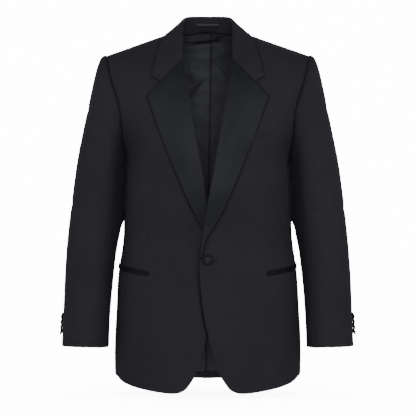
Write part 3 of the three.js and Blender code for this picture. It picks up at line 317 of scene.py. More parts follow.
def sink_seams(node, co, rims):
    """Rolls the cloth down into its seams; also gives each point's painted shade for lying in a seam, from 0 to 1.

    Seams between body and sleeve sink along a direction that both pieces share.
    """
    in_sleeve = "sleeve" in node
    own = outward(co / MM, in_sleeve)
    shared = 0.5 * (outward(co / MM, True) + outward(co / MM, False))
    same = distances(co, sewn_points(node, rims, in_sleeve))
    other = distances(co, sewn_points(node, rims, not in_sleeve))
    plain = 0.4 if in_sleeve else 1.0  # a sleeve's own seams are pressed flat
    moved = co + (own * plain * seam_sink(same)[:, None] + shared * seam_sink(other)[:, None]) * MM
    painted_shade = np.maximum(0.3 * plain * np.exp(-((same / 2.2) ** 2)), 0.75 * np.exp(-((other / 2.6) ** 2)))
    return moved, painted_shade


def press_under(co, painted_shade, in_sleeve, edges):
    """Presses the cloth in under edges that lie on it: (points, depth, painted shade, the painted shade's width),
    in mm.
    """
    for edge, depth, shade, width in edges:
        far = distances(co, edge)
        co = co - outward(co / MM, in_sleeve) * (depth * np.exp(-((far / 3.0) ** 2)))[:, None] * MM
        painted_shade = np.maximum(painted_shade, shade * np.exp(-((far / width) ** 2)))
    return co, painted_shade


def set_painted_shade(obj, painted_shade):
    """Keeps each point's painted shade, from folds, seams, edges and contacts, for the material to darken the
    colour by.
    """
    layer = obj.data.attributes.new("painted_shade", "FLOAT", "POINT")
    layer.data.foreach_set("value", painted_shade.astype(np.float32))


def nearest_mean(tree, points, place, spread):
    """Mean of the points about as near as the nearest one, so both lips of a wall's edge count."""
    reach = tree.find(place)[2] + spread
    return points[[i for _, i, _ in tree.find_range(place, reach)]].mean(0)


def close_armhole(node, co, rims):
    """Moves a sleeve's top edge on to the armhole's, and the cloth near it along."""
    body = np.concatenate([rim for name, rim in rims.items() if "sleeve" not in name])
    body_tree = tree_of(body)
    edge = np.array([p for p in rims[node] if body_tree.find(p)[2] < ARMHOLE_WITHIN])
    edge_tree = tree_of(edge)
    moves = [nearest_mean(body_tree, body, p, LIP) - nearest_mean(edge_tree, edge, p, LIP) for p in edge]
    moves = np.array(moves)
    smooth = np.array([moves[[i for _, i, _ in edge_tree.find_range(p, 8 * MM)]].mean(0) for p in edge])
    moved = co.copy()
    for i, p in enumerate(co):
        _, nearest, far = edge_tree.find(p)
        if far < 3 * ARMHOLE_EASE:
            moved[i] += smooth[nearest] * math.exp(-((far / ARMHOLE_EASE) ** 2))
    return moved


def lean_on_body(side):
    """Rests the sleeve's inner side on the body from the armhole down to where the two part."""
    sign = SIDES[side]
    body = np.concatenate([coordinates(SHELLS[f"{kind}_{side}"].data) for kind in ("front", "side", "back")])
    sleeves = [SHELLS[f"{kind}_{side}"] for kind in ("top_sleeve", "under_sleeve")]
    cloth = np.concatenate([coordinates(piece.data) for piece in sleeves])
    rows = np.arange(LEAN_TO - 5 * LEAN_ROW, LEAN_FROM + 5 * LEAN_ROW, LEAN_ROW)
    gaps = []
    for z in rows:
        outermost = (body[np.abs(body[:, 2] - z) < LEAN_ROW, 0] * sign).max()
        leaning = (np.abs(cloth[:, 2] - z) < LEAN_ROW) & (cloth[:, 1] > LEAN_DEPTH + 0.6 * LEAN_SLOPE)
        innermost = (cloth[leaning, 0] * sign).min()
        gaps.append(innermost - outermost)
    for piece in sleeves:
        co = coordinates(piece.data)
        inner = np.clip(-outward(co / MM, True)[:, 0] * sign, 0, 1)
        inner *= np.clip((co[:, 1] - LEAN_DEPTH) / LEAN_SLOPE, 0, 1)
        z = co[:, 2]
        held = np.clip((z - LEAN_TO) / LEAN_EASE, 0, 1) * np.clip((LEAN_FROM - z) / LEAN_EASE, 0, 1)
        held = held * held * (3 - 2 * held)
        co[:, 0] -= sign * (np.interp(z, rows, gaps) + LEAN_PRESS) * held * inner
        set_coordinates(piece.data, co)


def shade_contact(side):
    """Paints shade where the sleeve hangs against the body, and a softer painted shade on the body beside the
    sleeve.
    """
    kinds = {False: ("front", "side", "back"), True: ("top_sleeve", "under_sleeve")}
    clouds = {}
    for sleeve, names in kinds.items():
        co = np.concatenate([coordinates(SHELLS[f"{kind}_{side}"].data) for kind in names])
        near_side = (np.abs(co[:, 0]) > 0.165) & (np.abs(co[:, 0]) < 0.225)
        clouds[sleeve] = co[near_side & (co[:, 2] < CONTACT_TOP) & (co[:, 2] > LEAN_TO - 0.03)]
    sleeve_points = np.concatenate([coordinates(SHELLS[f"{kind}_{side}"].data)[::7] for kind in kinds[True]])
    sleeve_points = sleeve_points[sleeve_points[:, 2] < LEAN_FROM]
    for sleeve, names in kinds.items():
        for kind in names:
            mesh = SHELLS[f"{kind}_{side}"].data
            far = distances(coordinates(mesh), clouds[not sleeve])
            layer = mesh.attributes["painted_shade"]
            painted_shade = np.empty(len(mesh.vertices), np.float32)
            layer.data.foreach_get("value", painted_shade)
            height = np.clip((CONTACT_TOP - coordinates(mesh)[:, 2]) / (CONTACT_TOP - CONTACT_FULL), 0, 1)
            width = CONTACT_WIDTH * (2 if kind == "side" else 1)
            painted_shade = np.maximum(painted_shade, height * np.exp(-((far / width) ** 2)))
            if not sleeve:
                beside = distances(coordinates(mesh), sleeve_points)
                painted_shade = np.maximum(painted_shade, NEAR_SLEEVE["shade"] * np.exp(-((beside / NEAR_SLEEVE["width"]) ** 2)))
            layer.data.foreach_set("value", painted_shade.astype(np.float32))


def subdivided(obj):
    obj.data.update()
    obj.update_tag()
    bpy.context.view_layer.update()
    return bpy.data.meshes.new_from_object(obj.evaluated_get(bpy.context.evaluated_depsgraph_get()))


def shell(node, rim_crease=0.45):
    """A finer copy of a CAD wall, smooth through the wall's own points, with soft rims."""
    bm = welded(node)
    layer = bm.edges.layers.float.get("crease_edge") or bm.edges.layers.float.new("crease_edge")
    for edge in bm.edges:
        if len(edge.link_faces) == 2 and edge.calc_face_angle() > SHARP:
            edge[layer] = rim_crease
    mesh = bpy.data.meshes.new(node + "_cloth")
    bm.to_mesh(mesh)
    bm.free()
    made = link(node + "_cloth", mesh)
    rounder = made.modifiers.new("round", "SUBSURF")
    rounder.levels = rounder.render_levels = 3
    wanted = coordinates(mesh)
    for _ in range(FITTING_ROUNDS):
        # The first points of the finer mesh are the coarse ones, drawn in by the smoothing
        fine = subdivided(made)
        missed = wanted - coordinates(fine)[: len(wanted)]
        bpy.data.meshes.remove(fine)
        set_coordinates(mesh, coordinates(mesh) + missed)
    fine = subdivided(made)
    made.modifiers.clear()
    made.data = fine
    fine.name = made.name
    for polygon in fine.polygons:
        polygon.use_smooth = True
    return made


# Materials


class Nodes:
    """Short ways to build a node material."""

    def __init__(self, name, **principled):
        self.material = bpy.data.materials.new(name)
        self.material.use_nodes = True
        self.tree = self.material.node_tree
        self.shader = self.tree.nodes["Principled BSDF"]
        for socket, value in principled.items():
            self.shader.inputs[socket.replace("_", " ")].default_value = value

    def add(self, kind, inputs=None, **settings):
        node = self.tree.nodes.new(kind)
        for key, value in settings.items():
            setattr(node, key, value)
        for key, value in (inputs or {}).items():
            if isinstance(value, bpy.types.NodeSocket):
                self.tree.links.new(value, node.inputs[key])
            else:
                node.inputs[key].default_value = value
        return node

    def math(self, operation, a, b=0.0):
        return self.add("ShaderNodeMath", {0: a, 1: b}, operation=operation).outputs[0]

    def link(self, output, socket):
        self.tree.links.new(output, self.shader.inputs[socket])

    def ramp(self, value, stops):
        ramp = self.add("ShaderNodeValToRGB", {"Fac": value})
        elements = ramp.color_ramp.elements
        while len(elements) < len(stops):
            elements.new(0.5)
        for element, (place, colour) in zip(elements, stops):
            element.position = place
            element.color = (*colour, 1)
        return ramp.outputs["Color"]

    def shaded(self, colour, least):
        """The colour, darkened by the painted shade of folds, seams, edges and contacts down to this share of it.
        """
        painted_shade = self.add("ShaderNodeAttribute", attribute_name="painted_shade").outputs["Fac"]
        share = self.math("SUBTRACT", 1.0, self.math("MULTIPLY", painted_shade, 1 - least))
        return self.add("ShaderNodeVectorMath", {0: colour, "Scale": share}, operation="SCALE").outputs[0]

    def bump(self, heights):
        """heights: list of (output, strength, distance in metres), the coarsest first."""
        last = None
        for height, strength, distance in heights:
            inputs = {"Height": height, "Strength": strength, "Distance": distance}
            if last is not None:
                inputs["Normal"] = last
            last = self.add("ShaderNodeBump", inputs).outputs["Normal"]
        self.link(last, "Normal")


def noise_of(nodes, place, scale, detail=3.0, roughness=0.5):
    inputs = {"Vector": place, "Scale": scale, "Detail": detail, "Roughness": roughness}
    return nodes.add("ShaderNodeTexNoise", inputs).outputs["Fac"]


def twill(nodes, place, pitch, turn=0.0):
    """Fine diagonal ribs broken up by the threads that cross them."""
    turned = nodes.add("ShaderNodeMapping", {"Vector": place, "Rotation": (0, turn, 0)}).outputs["Vector"]
    scale = 2 * math.pi / (20 * pitch)
    ribs = nodes.add(
        "ShaderNodeTexWave",
        {"Vector": turned, "Scale": scale, "Distortion": 0.6, "Detail": 1.0, "Detail Scale": 3.0},
        bands_direction="DIAGONAL",
    ).outputs["Fac"]
    threads = nodes.add(
        "ShaderNodeTexWave", {"Vector": turned, "Scale": scale * 1.7, "Distortion": 0.4}, bands_direction="Z"
    ).outputs["Fac"]
    return nodes.math("ADD", nodes.math("MULTIPLY", ribs, 0.7), nodes.math("MULTIPLY", threads, 0.3))


def wool_material(name, dark, light, pitch=0.7 * MM):
    nodes = Nodes(
        name, Roughness=0.72, Specular_IOR_Level=0.2, Sheen_Weight=0.06, Sheen_Roughness=0.42,
        Sheen_Tint=(0.80, 0.76, 0.95, 1),
    )
    place = nodes.add("ShaderNodeTexCoord").outputs["Object"]
    weave = twill(nodes, place, pitch)
    fibres = noise_of(nodes, place, 900, 4.0, 0.65)
    broad = noise_of(nodes, place, 9, 4.0)
    nap = noise_of(nodes, place, 55, 4.0, 0.6)
    tone = nodes.math("ADD", nodes.math("MULTIPLY", weave, 0.35), nodes.math("MULTIPLY", broad, 0.4))
    tone = nodes.math("ADD", tone, nodes.math("MULTIPLY", nap, 0.25))
    nodes.link(nodes.shaded(nodes.ramp(tone, [(0.22, dark), (0.72, light)]), 0.12), "Base Color")
    rough = nodes.math("ADD", nodes.math("MULTIPLY", nap, 0.16), 0.64)
    nodes.link(rough, "Roughness")
    nodes.bump([(broad, 0.16, 0.002), (weave, 0.45, 0.00022), (fibres, 0.28, 0.00016)])
    return nodes.material


def satin_material(name, dark, light, roughness, gloss):
    nodes = Nodes(
        name, Roughness=roughness, Specular_IOR_Level=gloss, Sheen_Weight=0.12, Sheen_Roughness=0.3,
        Sheen_Tint=(0.80, 0.84, 0.98, 1), Anisotropic=0.35,
    )
    place = nodes.add("ShaderNodeTexCoord").outputs["Object"]
    threads = nodes.add(
        "ShaderNodeTexWave",
        {"Vector": place, "Scale": 2 * math.pi / (20 * 0.45 * MM), "Distortion": 0.5, "Detail": 1.0},
        bands_direction="DIAGONAL",
    ).outputs["Fac"]
    slubs = noise_of(nodes, place, 26, 4.0, 0.6)
    broad = noise_of(nodes, place, 8, 3.0)
    tone = nodes.math("ADD", nodes.math("MULTIPLY", slubs, 0.5), nodes.math("MULTIPLY", broad, 0.5))
    nodes.link(nodes.shaded(nodes.ramp(tone, [(0.25, dark), (0.75, light)]), 0.12), "Base Color")
    nodes.link(nodes.math("ADD", nodes.math("MULTIPLY", slubs, 0.12), roughness - 0.06), "Roughness")
    nodes.bump([(broad, 0.18, 0.002), (slubs, 0.1, 0.0006), (threads, 0.25, 0.00012)])
    return nodes.material


def lining_material(name, dark, light):
    nodes = Nodes(
        name, Roughness=0.6, Specular_IOR_Level=0.25, Sheen_Weight=0.06, Sheen_Roughness=0.35,
        Sheen_Tint=(0.85, 0.88, 1.0, 1),
    )
    place = nodes.add("ShaderNodeTexCoord").outputs["Object"]
    crinkle = noise_of(nodes, place, 38, 5.0, 0.55)
    crush = nodes.add(
        "ShaderNodeTexVoronoi", {"Vector": place, "Scale": 34, "Randomness": 1.0}, feature="SMOOTH_F1"
    ).outputs["Distance"]
    weave = twill(nodes, place, 0.5 * MM, 0.4)
    tone = nodes.math("ADD", nodes.math("MULTIPLY", crinkle, 0.75), nodes.math("MULTIPLY", weave, 0.25))
    nodes.link(nodes.shaded(nodes.ramp(tone, [(0.3, dark), (0.7, light)]), 0.12), "Base Color")
    nodes.link(nodes.math("ADD", nodes.math("MULTIPLY", crinkle, 0.2), 0.5), "Roughness")
    nodes.bump([(crush, 0.2, 0.003), (crinkle, 0.5, 0.003), (weave, 0.25, 0.00012)])
    return nodes.material


WOOL = wool_material("jacket_wool", (0.0152, 0.0136, 0.0190), (0.0283, 0.0254, 0.0346))
COLLAR_WOOL = wool_material("collar_wool", (0.0158, 0.0141, 0.0195), (0.0290, 0.0261, 0.0353))
SATIN = satin_material("lapel_satin", (0.0106, 0.0111, 0.0155), (0.0198, 0.0206, 0.0284), 0.56, 0.19)
TRIM_SATIN = satin_material("trim_satin", (0.0019, 0.0020, 0.0027), (0.0040, 0.0042, 0.0055), 0.5, 0.14)
LINING = lining_material("back_lining", (0.033, 0.034, 0.043), (0.063, 0.064, 0.080))
LOOP = lining_material("loop_cloth", (0.040, 0.039, 0.047), (0.070, 0.068, 0.080))
THREAD = satin_material("buttonhole_thread", (0.0140, 0.0126, 0.0172), (0.0235, 0.0212, 0.0282), 0.6, 0.2)


def dress(obj, slot, *materials):
    obj.data.materials.clear()
    for material in materials:
        obj.data.materials.append(material)
    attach(obj, "root")
    return obj


def line_inside(obj, sleeve, from_x):
    """Gives a wall's inner face the lining's material, further out than from_x millimetres from the centre."""
    mesh = obj.data
    centres = np.empty(len(mesh.polygons) * 3)
    normals = np.empty(len(mesh.polygons) * 3)
    mesh.polygons.foreach_get("center", centres)
    mesh.polygons.foreach_get("normal", normals)
    centres = centres.reshape(-1, 3) / MM
    inner = (outward(centres, sleeve) * normals.reshape(-1, 3)).sum(1) < -0.5
    inner &= np.abs(centres[:, 0]) > from_x
    mesh.polygons.foreach_set("material_index", inner.astype(np.int32))


def run_out(co, side):
    """Narrows a lapel's lower end to a tail along the front's edge; the right one's stays under the left."""
    sign = SIDES[side]
    share = 1.0 if side == "left" else UNDER_TAIL
    t = share * np.clip((LAPEL_TAIL["from_z"] - co[:, 2]) / LAPEL_TAIL["length"], 0, 1)
    roll = (ROLL["x"] + ROLL["slope"] * (co[:, 2] / MM - ROLL["z"])) * MM
    past = np.maximum(co[:, 0] * sign - roll, 0)
    moved = co.copy()
    moved[:, 0] -= sign * past * LAPEL_TAIL["narrower"] * t * t * (3 - 2 * t)
    moved[:, 2] -= LAPEL_TAIL["longer"] * t * t
    return moved


def face_only(obj, slant=0.75):
    """Keeps a lapel's satin on its face and round its roll; free edges and underside are wool."""
    mesh = obj.data
    normals = np.empty(len(mesh.polygons) * 3)
    centres = np.empty(len(mesh.polygons) * 3)
    mesh.polygons.foreach_get("normal", normals)
    mesh.polygons.foreach_get("center", centres)
    centres = centres.reshape(-1, 3) / MM
    facing = (outward(centres, False) * normals.reshape(-1, 3)).sum(1)
    roll = ROLL["x"] + ROLL["slope"] * (centres[:, 2] - ROLL["z"])
    wool = (facing < slant) & (np.abs(centres[:, 0]) > roll + ROLL["width"])
    mesh.polygons.foreach_set("material_index", wool.astype(np.int32))


# The cut of each sewn piece: its flat width, length and area, in metres, and how it hangs
CUTS = {
    "front": {"flat": (0.29, 0.80), "area": 0.157, "rests_on": ["collar"]},
    "side": {"flat": (0.10, 0.49), "area": 0.0355, "rests_on": ["collar"]},
    "back": {"flat": (0.27, 0.79), "area": 0.167, "rests_on": ["collar"]},
    "top_sleeve": {"flat": (0.22, 0.66), "area": 0.099, "rests_on": ["collar"]},
    "under_sleeve": {"flat": (0.19, 0.58), "area": 0.088, "rests_on": ["collar"]},
}


def button_axis(node, away_from):
    """Foot and outward direction of a button's axis, from its CAD node."""
    co = coordinates(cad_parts[node].data)
    middle = co.mean(0)
    axis = np.linalg.eigh(np.cov((co - middle).T))[1][:, 0]
    if axis @ (middle - np.array(away_from)) < 0:
        axis = -axis
    along = (co - middle) @ axis
    foot = middle + axis * along.min()
    reach = along.max() - along.min()
    radius = np.linalg.norm((co - middle) - np.outer(along, axis), axis=1).max()
    return Vector(foot), Vector(axis), float(reach), float(radius)


def button_ring(node, away_from):
    """Points round a button's rim, a little above the cloth."""
    foot, axis, height, radius = button_axis(node, away_from)
    turn = axis.to_track_quat("Z", "Y").to_matrix()
    angles = [2 * math.pi * i / BUTTON_SEGMENTS for i in range(BUTTON_SEGMENTS)]
    rim = [Vector((radius * math.cos(angle), radius * math.sin(angle), 0.3 * height)) for angle in angles]
    return np.array([foot + turn @ p for p in rim])


def edges_over(node):
    """Edges that lie on this piece: (rim points, how far they press in, the painted shade beside them and its
    width).
    """
    edges = []
    if node.startswith(("front", "back")):
        edges.append((RIMS["collar"], 0.7, 0.8, 2.9))
    if node.startswith("front"):
        edges.append((LAPEL_RIMS[node.removeprefix("front_")], 0.9, 1.0, 3.8))
    # A painted shade ring round the front button
    if node == "front_left":
        edges.append((button_ring("button_front", FRONT_BUTTON_BEHIND), 0.3, 1.0, BUTTON_SHADE))
    # Painted shade on the right front beside the left front's edge
    if node == "front_right":
        edges.append((RIMS["front_left"], 2.0, 1.0, 5.2))
    return edges


WELT_TUCK = 2.2 * MM
BUTTON_SEGMENTS = 64
BUTTON_SHADE = 2.3  # mm: width of the painted shade ring round the front button
FRONT_BUTTON_BEHIND = (0, 0, -0.49)
PLEAT_LEAN = {"from_z": 0.15, "height": 0.9, "by": 0.0150, "reach": 0.045}
PLEAT_SHADE = 4.4  # mm: width of the painted shade beside the lining's pleat
JET_TAPER = {"length": 0.011, "share": 0.7}
FACING_TO = 92  # the front's wool facing reaches this far from the centre, then the lining starts

SHELLS = {f"{kind}_{side}": shell(f"{kind}_{side}") for side in SIDES for kind in CUTS}
collar = shell("collar", rim_crease=0.85)
RIMS = {node: rim_points(piece.data) for node, piece in {**SHELLS, "collar": collar}.items()}
for node in [name for name in SHELLS if "sleeve" in name]:
    closed = close_armhole(node, coordinates(SHELLS[node].data), RIMS)
    set_coordinates(SHELLS[node].data, closed)
    RIMS[node] = rim_points(SHELLS[node].data)
LAPELS = {side: shell(f"lapel_{side}", rim_crease=0.75) for side in SIDES}
for side, lapel in LAPELS.items():
    set_coordinates(lapel.data, run_out(coordinates(lapel.data), side))
LAPEL_RIMS = {side: rim_points(lapel.data) for side, lapel in LAPELS.items()}
LININGS = {side: shell(f"lining_back_{side}") for side in SIDES}
RIGHT_LINING_EDGE = rim_points(LININGS["right"].data)

for side in SIDES:
    for kind, cut in CUTS.items():
        node = f"{kind}_{side}"
        in_sleeve = "sleeve" in kind
        piece = SHELLS[node]
        points, painted_shade = sink_seams(node, coordinates(piece.data), RIMS)
        points, painted_shade = press_under(points, painted_shade, in_sleeve, edges_over(node))
        set_painted_shade(piece, painted_shade)
        set_coordinates(piece.data, drape(points, in_sleeve, DARTS if kind == "front" else ()))
        dress(piece, "wool", WOOL, LINING)
        line_inside(piece, in_sleeve, FACING_TO if kind == "front" else 0)
        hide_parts(node)

    lapel = LAPELS[side]
    places = coordinates(lapel.data)
    if side == "right":
        # Painted shade on the right lapel where the left front lies over it
        set_painted_shade(lapel, np.exp(-((distances(places, RIMS["front_left"]) / 5.5) ** 2)))
    set_coordinates(lapel.data, drape(places, False))
    dress(lapel, "satin", SATIN, COLLAR_WOOL)
    face_only(lapel)
    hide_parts(f"lapel_{side}")

    lining = LININGS[side]
    places = coordinates(lining.data)
    mm = places / MM
    out = outward(mm, False)
    folds = sum(crease_depth(mm, out, crease) for crease in LINING_CREASES)
    ripple = unevenness(mm, 0.7, 46) + unevenness(mm[:, [2, 0, 1]], 0.4, 23)
    # Painted shade in the lining's folds by their depth, and on the left half beside the pleat's edge
    painted_shade = np.clip(folds / 3.5, 0, 1)
    if side == "left":
        painted_shade = np.maximum(painted_shade, np.exp(-((distances(places, RIGHT_LINING_EDGE) / PLEAT_SHADE) ** 2)))
    set_painted_shade(lining, painted_shade)
    places = drape(places, False) + out * (folds + np.minimum(ripple, 0.3))[:, None] * MM
    lower = np.clip((PLEAT_LEAN["from_z"] - places[:, 2]) / PLEAT_LEAN["height"], 0, 1)
    places[:, 0] -= PLEAT_LEAN["by"] * lower * np.exp(-((places[:, 0] / PLEAT_LEAN["reach"]) ** 2))
    set_coordinates(lining.data, places)
    dress(lining, "lining", LINING)
    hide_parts(f"lining_back_{side}")

    jets = {part: shell(f"jet_{part}_{side}", rim_crease=0.35) for part in ("upper", "lower")}
    both = np.concatenate([coordinates(jet.data) for jet in jets.values()])
    pocket_line = np.polyfit(both[:, 0], both[:, 2], 1)
    inner_end = np.abs(both[:, 0]).min()
    for part, jet in jets.items():
        places = coordinates(jet.data)
        near_end = np.clip((inner_end + JET_TAPER["length"] - np.abs(places[:, 0])) / JET_TAPER["length"], 0, 1)
        middle = np.polyval(pocket_line, places[:, 0])
        places[:, 2] += (middle - places[:, 2]) * JET_TAPER["share"] * near_end**2
        set_coordinates(jet.data, drape(places, False))
        dress(jet, "satin", TRIM_SATIN)
        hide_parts(f"jet_{part}_{side}")

for side in SIDES:
    lean_on_body(side)
    shade_contact(side)

set_coordinates(collar.data, drape(coordinates(collar.data), False))
dress(collar, "wool", COLLAR_WOOL)
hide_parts("collar")

# The welt stands free along its top and is sewn down flush below
welt = shell("welt_chest")
places = coordinates(welt.data)
below = np.clip((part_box("welt_chest")[1].z - places[:, 2]) / (12 * MM), 0, 1)
places = drape(places, False) - outward(places / MM, False) * (below * WELT_TUCK)[:, None]
set_coordinates(welt.data, places)
dress(welt, "wool", WOOL)
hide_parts("welt_chest")

loop = shell("hanger_loop")
dress(loop, "lining", LOOP)
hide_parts("hanger_loop")


# Buttons: a satin-covered dome, gathered under its rim, on a thread shank


# Share of the radius and of the height, from the shank's foot up to the crown
BUTTON_PROFILE = [
    (0.17, 0.0), (0.17, 0.2), (0.3, 0.27), (0.72, 0.25), (0.92, 0.32), (0.995, 0.45), (1.0, 0.58), (0.96, 0.72),
    (0.86, 0.84), (0.68, 0.93), (0.42, 0.985), (0.18, 1.0), (0.0, 1.0),
]
GATHERS = 16


def covered_button(node, away_from):
    foot, axis, height, radius = button_axis(node, away_from)
    turn = axis.to_track_quat("Z", "Y").to_matrix().to_4x4()
    bm = bmesh.new()
    rings = []
    for share, up in BUTTON_PROFILE[:-1]:
        ring = []
        for i in range(BUTTON_SEGMENTS):
            angle = 2 * math.pi * i / BUTTON_SEGMENTS
            pucker = 1 + 0.035 * math.cos(GATHERS * angle) * math.exp(-(((up - 0.28) / 0.12) ** 2)) * (share > 0.25)
            r = radius * share * pucker
            ring.append(bm.verts.new((r * math.cos(angle), r * math.sin(angle), height * up)))
        rings.append(ring)
    top = bm.verts.new((0, 0, height * BUTTON_PROFILE[-1][1]))
    foot_point = bm.verts.new((0, 0, 0))
    for low, high in zip(rings, rings[1:]):
        for i in range(BUTTON_SEGMENTS):
            j = (i + 1) % BUTTON_SEGMENTS
            bm.faces.new((low[i], low[j], high[j], high[i]))
    for i in range(BUTTON_SEGMENTS):
        j = (i + 1) % BUTTON_SEGMENTS
        bm.faces.new((rings[-1][i], rings[-1][j], top))
        bm.faces.new((rings[0][j], rings[0][i], foot_point))
    mesh = bpy.data.meshes.new(node + "_covered")
    bm.to_mesh(mesh)
    bm.free()
    places = coordinates(mesh)
    # Painted shade on the button's rounded rim and under it
    round_rim = np.clip((np.hypot(places[:, 0], places[:, 1]) / radius - 0.76) / 0.22, 0, 1)
    below_rim = np.clip((0.5 - places[:, 2] / height) / 0.2, 0, 1)
    mesh.transform(Matrix.Translation(foot) @ turn)
    for polygon in mesh.polygons:
        polygon.use_smooth = True
    made = dress(link(node + "_covered", mesh), "satin", SATIN if node == "button_front" else TRIM_SATIN)
    set_painted_shade(made, np.maximum(round_rim, below_rim))
    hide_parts(node)
    return made


covered_button("button_front", FRONT_BUTTON_BEHIND)
for side, sign in SIDES.items():
    for index in range(1, 5):
        covered_button(f"cuff_button_{side}_{index}", (sign * 0.266, -0.033, -0.63))


# Stitches

button_low, button_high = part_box("button_front")
BUTTON_AT = Vector(((button_low.x + button_high.x) / 2, 0, (button_low.z + button_high.z) / 2))
HOLE = {"from": 3.0, "to": 20.0, "stitches": 30, "half": 1.5, "thick": 0.34}


def surface_at(obj, x, z, side=-1):
    """Point and normal where a line along Y first meets the object, from the front or the back."""
    hit, place, normal, _ = obj.ray_cast(Vector((x, side * 1.0, z)), Vector((0, -side, 0)))
    if not hit:
        raise RuntimeError(f"nothing of {obj.name} at x {x}, z {z}")
    return place, normal


def add_stitch(bm, a, b, normal, thick):
    """One lying thread from a to b: a low six-sided bead."""
    along = (b - a).normalized()
    across = normal.cross(along).normalized()
    rings = []
    for share, size in ((0, 0.35), (0.25, 0.9), (0.5, 1.0), (0.75, 0.9), (1, 0.35)):
        centre = a.lerp(b, share) + normal * thick * 0.35 * size
        ring = []
        for i in range(6):
            angle = math.pi * i / 3
            offset = across * math.cos(angle) + normal * math.sin(angle) * 0.8
            ring.append(bm.verts.new(centre + offset * thick * size))
        rings.append(ring)
    for low, high in zip(rings, rings[1:]):
        for i in range(6):
            j = (i + 1) % 6
            bm.faces.new((low[i], low[j], high[j], high[i]))
    bm.faces.new(rings[0][::-1])
    bm.faces.new(rings[-1])


def buttonhole():
    """Close stitches along both lips of the front's buttonhole, and a bar at its end."""
    bm = bmesh.new()
    cloth = bpy.data.objects["front_left_cloth"]
    for lip in (1, -1):
        for i in range(HOLE["stitches"]):
            x = BUTTON_AT.x + (HOLE["from"] + (HOLE["to"] - HOLE["from"]) * i / (HOLE["stitches"] - 1)) * MM
            inner, normal = surface_at(cloth, x, BUTTON_AT.z + lip * 0.15 * MM)
            outer, _ = surface_at(cloth, x + 0.1 * MM, BUTTON_AT.z + lip * HOLE["half"] * MM)
            add_stitch(bm, inner, outer, normal, HOLE["thick"] * MM)
    for i in range(3):
        x = BUTTON_AT.x + (HOLE["to"] + 0.4 + 0.45 * i) * MM
        low, normal = surface_at(cloth, x, BUTTON_AT.z - 1.6 * MM)
        high, _ = surface_at(cloth, x, BUTTON_AT.z + 1.6 * MM)
        add_stitch(bm, low, high, normal, HOLE["thick"] * MM)
    mesh = bpy.data.meshes.new("buttonhole_stitches")
    bm.to_mesh(mesh)
    bm.free()
    for polygon in mesh.polygons:
        polygon.use_smooth = True
    return dress(link("buttonhole_stitches", mesh), "satin", THREAD)


buttonhole()


# Stage, light and camera

FLOOR_Z = -0.787
PAPER_RADIUS = 14
SHADOW_SHARE = 0.36  # how much of the floor's light the jacket can shade
PAPER_GLOW = 15.0  # the paper is far brighter than the black cloth, as in an overexposed studio ground


def stage_mesh(name, bm, material):
    """A white surround that the camera sees and that throws no light of its own on the jacket."""
    mesh = bpy.data.meshes.new(name)
    bm.to_mesh(mesh)
    bm.free()
    made = link(name, mesh)
    mesh.materials.append(material)
    made.visible_diffuse = False
    made.visible_glossy = False
    made.visible_transmission = False
    made.visible_shadow = False
    return made


def glowing(name, strength):
    nodes = Nodes(name, Base_Color=(0, 0, 0, 1), Emission_Color=(1, 1, 1, 1), Emission_Strength=strength)
    return nodes.material


bm = bmesh.new()
bmesh.ops.create_circle(bm, cap_ends=True, segments=96, radius=PAPER_RADIUS)
bmesh.ops.translate(bm, verts=bm.verts, vec=(0, 0, FLOOR_Z))
floor_paper = glowing("white_paper", PAPER_GLOW * (1 - SHADOW_SHARE))
floor_paper.node_tree.nodes["Principled BSDF"].inputs["Base Color"].default_value = (0.9, 0.9, 0.9, 1)
floor = stage_mesh("paper_floor", bm, floor_paper)
bm = bmesh.new()
bmesh.ops.create_uvsphere(bm, u_segments=64, v_segments=32, radius=PAPER_RADIUS)
bmesh.ops.translate(bm, verts=bm.verts, vec=(0, 0, FLOOR_Z))
stage_mesh("paper_dome", bm, glowing("lit_paper", PAPER_GLOW))


def lamp(kind, name, place, target, **settings):
    data = bpy.data.lights.new(name, kind)
    for key, value in settings.items():
        setattr(data, key, value)
    made = bpy.data.objects.new(name, data)
    bpy.context.scene.collection.objects.link(made)
    made.location = place
    made.rotation_euler = (Vector(target) - Vector(place)).to_track_quat("-Z", "Y").to_euler()
    return made


def light_only(lamp_object, receivers):
    collection = bpy.data.collections.new(lamp_object.name + "_receivers")
    for receiver in receivers:
        collection.objects.link(receiver)
    lamp_object.light_linking.receiver_collection = collection


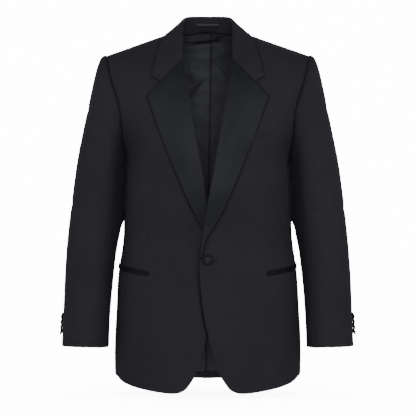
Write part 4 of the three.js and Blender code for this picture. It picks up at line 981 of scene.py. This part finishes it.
MIDDLE = (0, 0, -0.36)
BACK_LIGHT = 60
lamp("AREA", "soft_front", (0.2, -5.1, 0.45), MIDDLE, shape="RECTANGLE", size=2.4, size_y=2.0, energy=109)
lamp("AREA", "soft_low", (0.1, -4.4, -1.5), MIDDLE, shape="RECTANGLE", size=2.4, size_y=1.4, energy=2.5)
lamp("AREA", "soft_left", (-3.2, -1.6, 0.7), MIDDLE, shape="RECTANGLE", size=1.2, size_y=2.4, energy=42)
lamp("AREA", "soft_right", (3.2, -1.6, 0.7), MIDDLE, shape="RECTANGLE", size=1.2, size_y=2.4, energy=45)
wash = lamp("SUN", "floor_wash", (0, 0, 5), (0, 0, 0), energy=SHADOW_SHARE * PAPER_GLOW * math.pi / 0.9, angle=math.radians(75))
light_only(wash, [floor])
# Daylight that comes in at the neck and hem, which the small lamps outside can't give
linings = [LININGS[side] for side in SIDES]
wools = [*SHELLS.values(), collar]
light_only(
    lamp("AREA", "soft_back", (0.4, 5.1, 0.6), MIDDLE, shape="RECTANGLE", size=2.4, size_y=2.0, energy=BACK_LIGHT),
    wools,
)
light_only(lamp("AREA", "neck_fill", (0.1, -0.9, 0.9), (0, 0.1, -0.1), size=0.7, energy=2.4), linings)
light_only(lamp("AREA", "hem_fill", (0, -0.6, -1.15), (0, 0.12, -0.72), size=0.6, energy=1.6), linings)

# The room's own dim light, darker above than below
world = bpy.data.worlds.new("room")
world.use_nodes = True
room = world.node_tree
direction = room.nodes.new("ShaderNodeTexCoord")
split = room.nodes.new("ShaderNodeSeparateXYZ")
shade = room.nodes.new("ShaderNodeMapRange")
room.links.new(direction.outputs["Generated"], split.inputs[0])
room.links.new(split.outputs["Z"], shade.inputs["Value"])
for socket, value in {"From Min": -0.5, "From Max": 0.9, "To Min": 0.22, "To Max": 0.10}.items():
    shade.inputs[socket].default_value = value
room.links.new(shade.outputs["Result"], room.nodes["Background"].inputs["Strength"])
room.nodes["Background"].inputs["Color"].default_value = (1, 1, 1, 1)
bpy.context.scene.world = world

CAMERA_DISTANCE = 4.5
PIXEL = 2.2 * MM  # size of a pixel at the jacket's middle
IMAGE_WIDTH = 416
SENSOR = 36
camera_data = bpy.data.cameras.new("camera")
camera_data.sensor_width = SENSOR
camera_data.lens = SENSOR * CAMERA_DISTANCE / (PIXEL * IMAGE_WIDTH)
camera_data.clip_end = 50
camera = bpy.data.objects.new("camera", camera_data)
bpy.context.scene.collection.objects.link(camera)
camera.location = (0.0006, -CAMERA_DISTANCE, -0.378)
camera.rotation_euler = (math.pi / 2, 0, 0)
bpy.context.scene.camera = camera
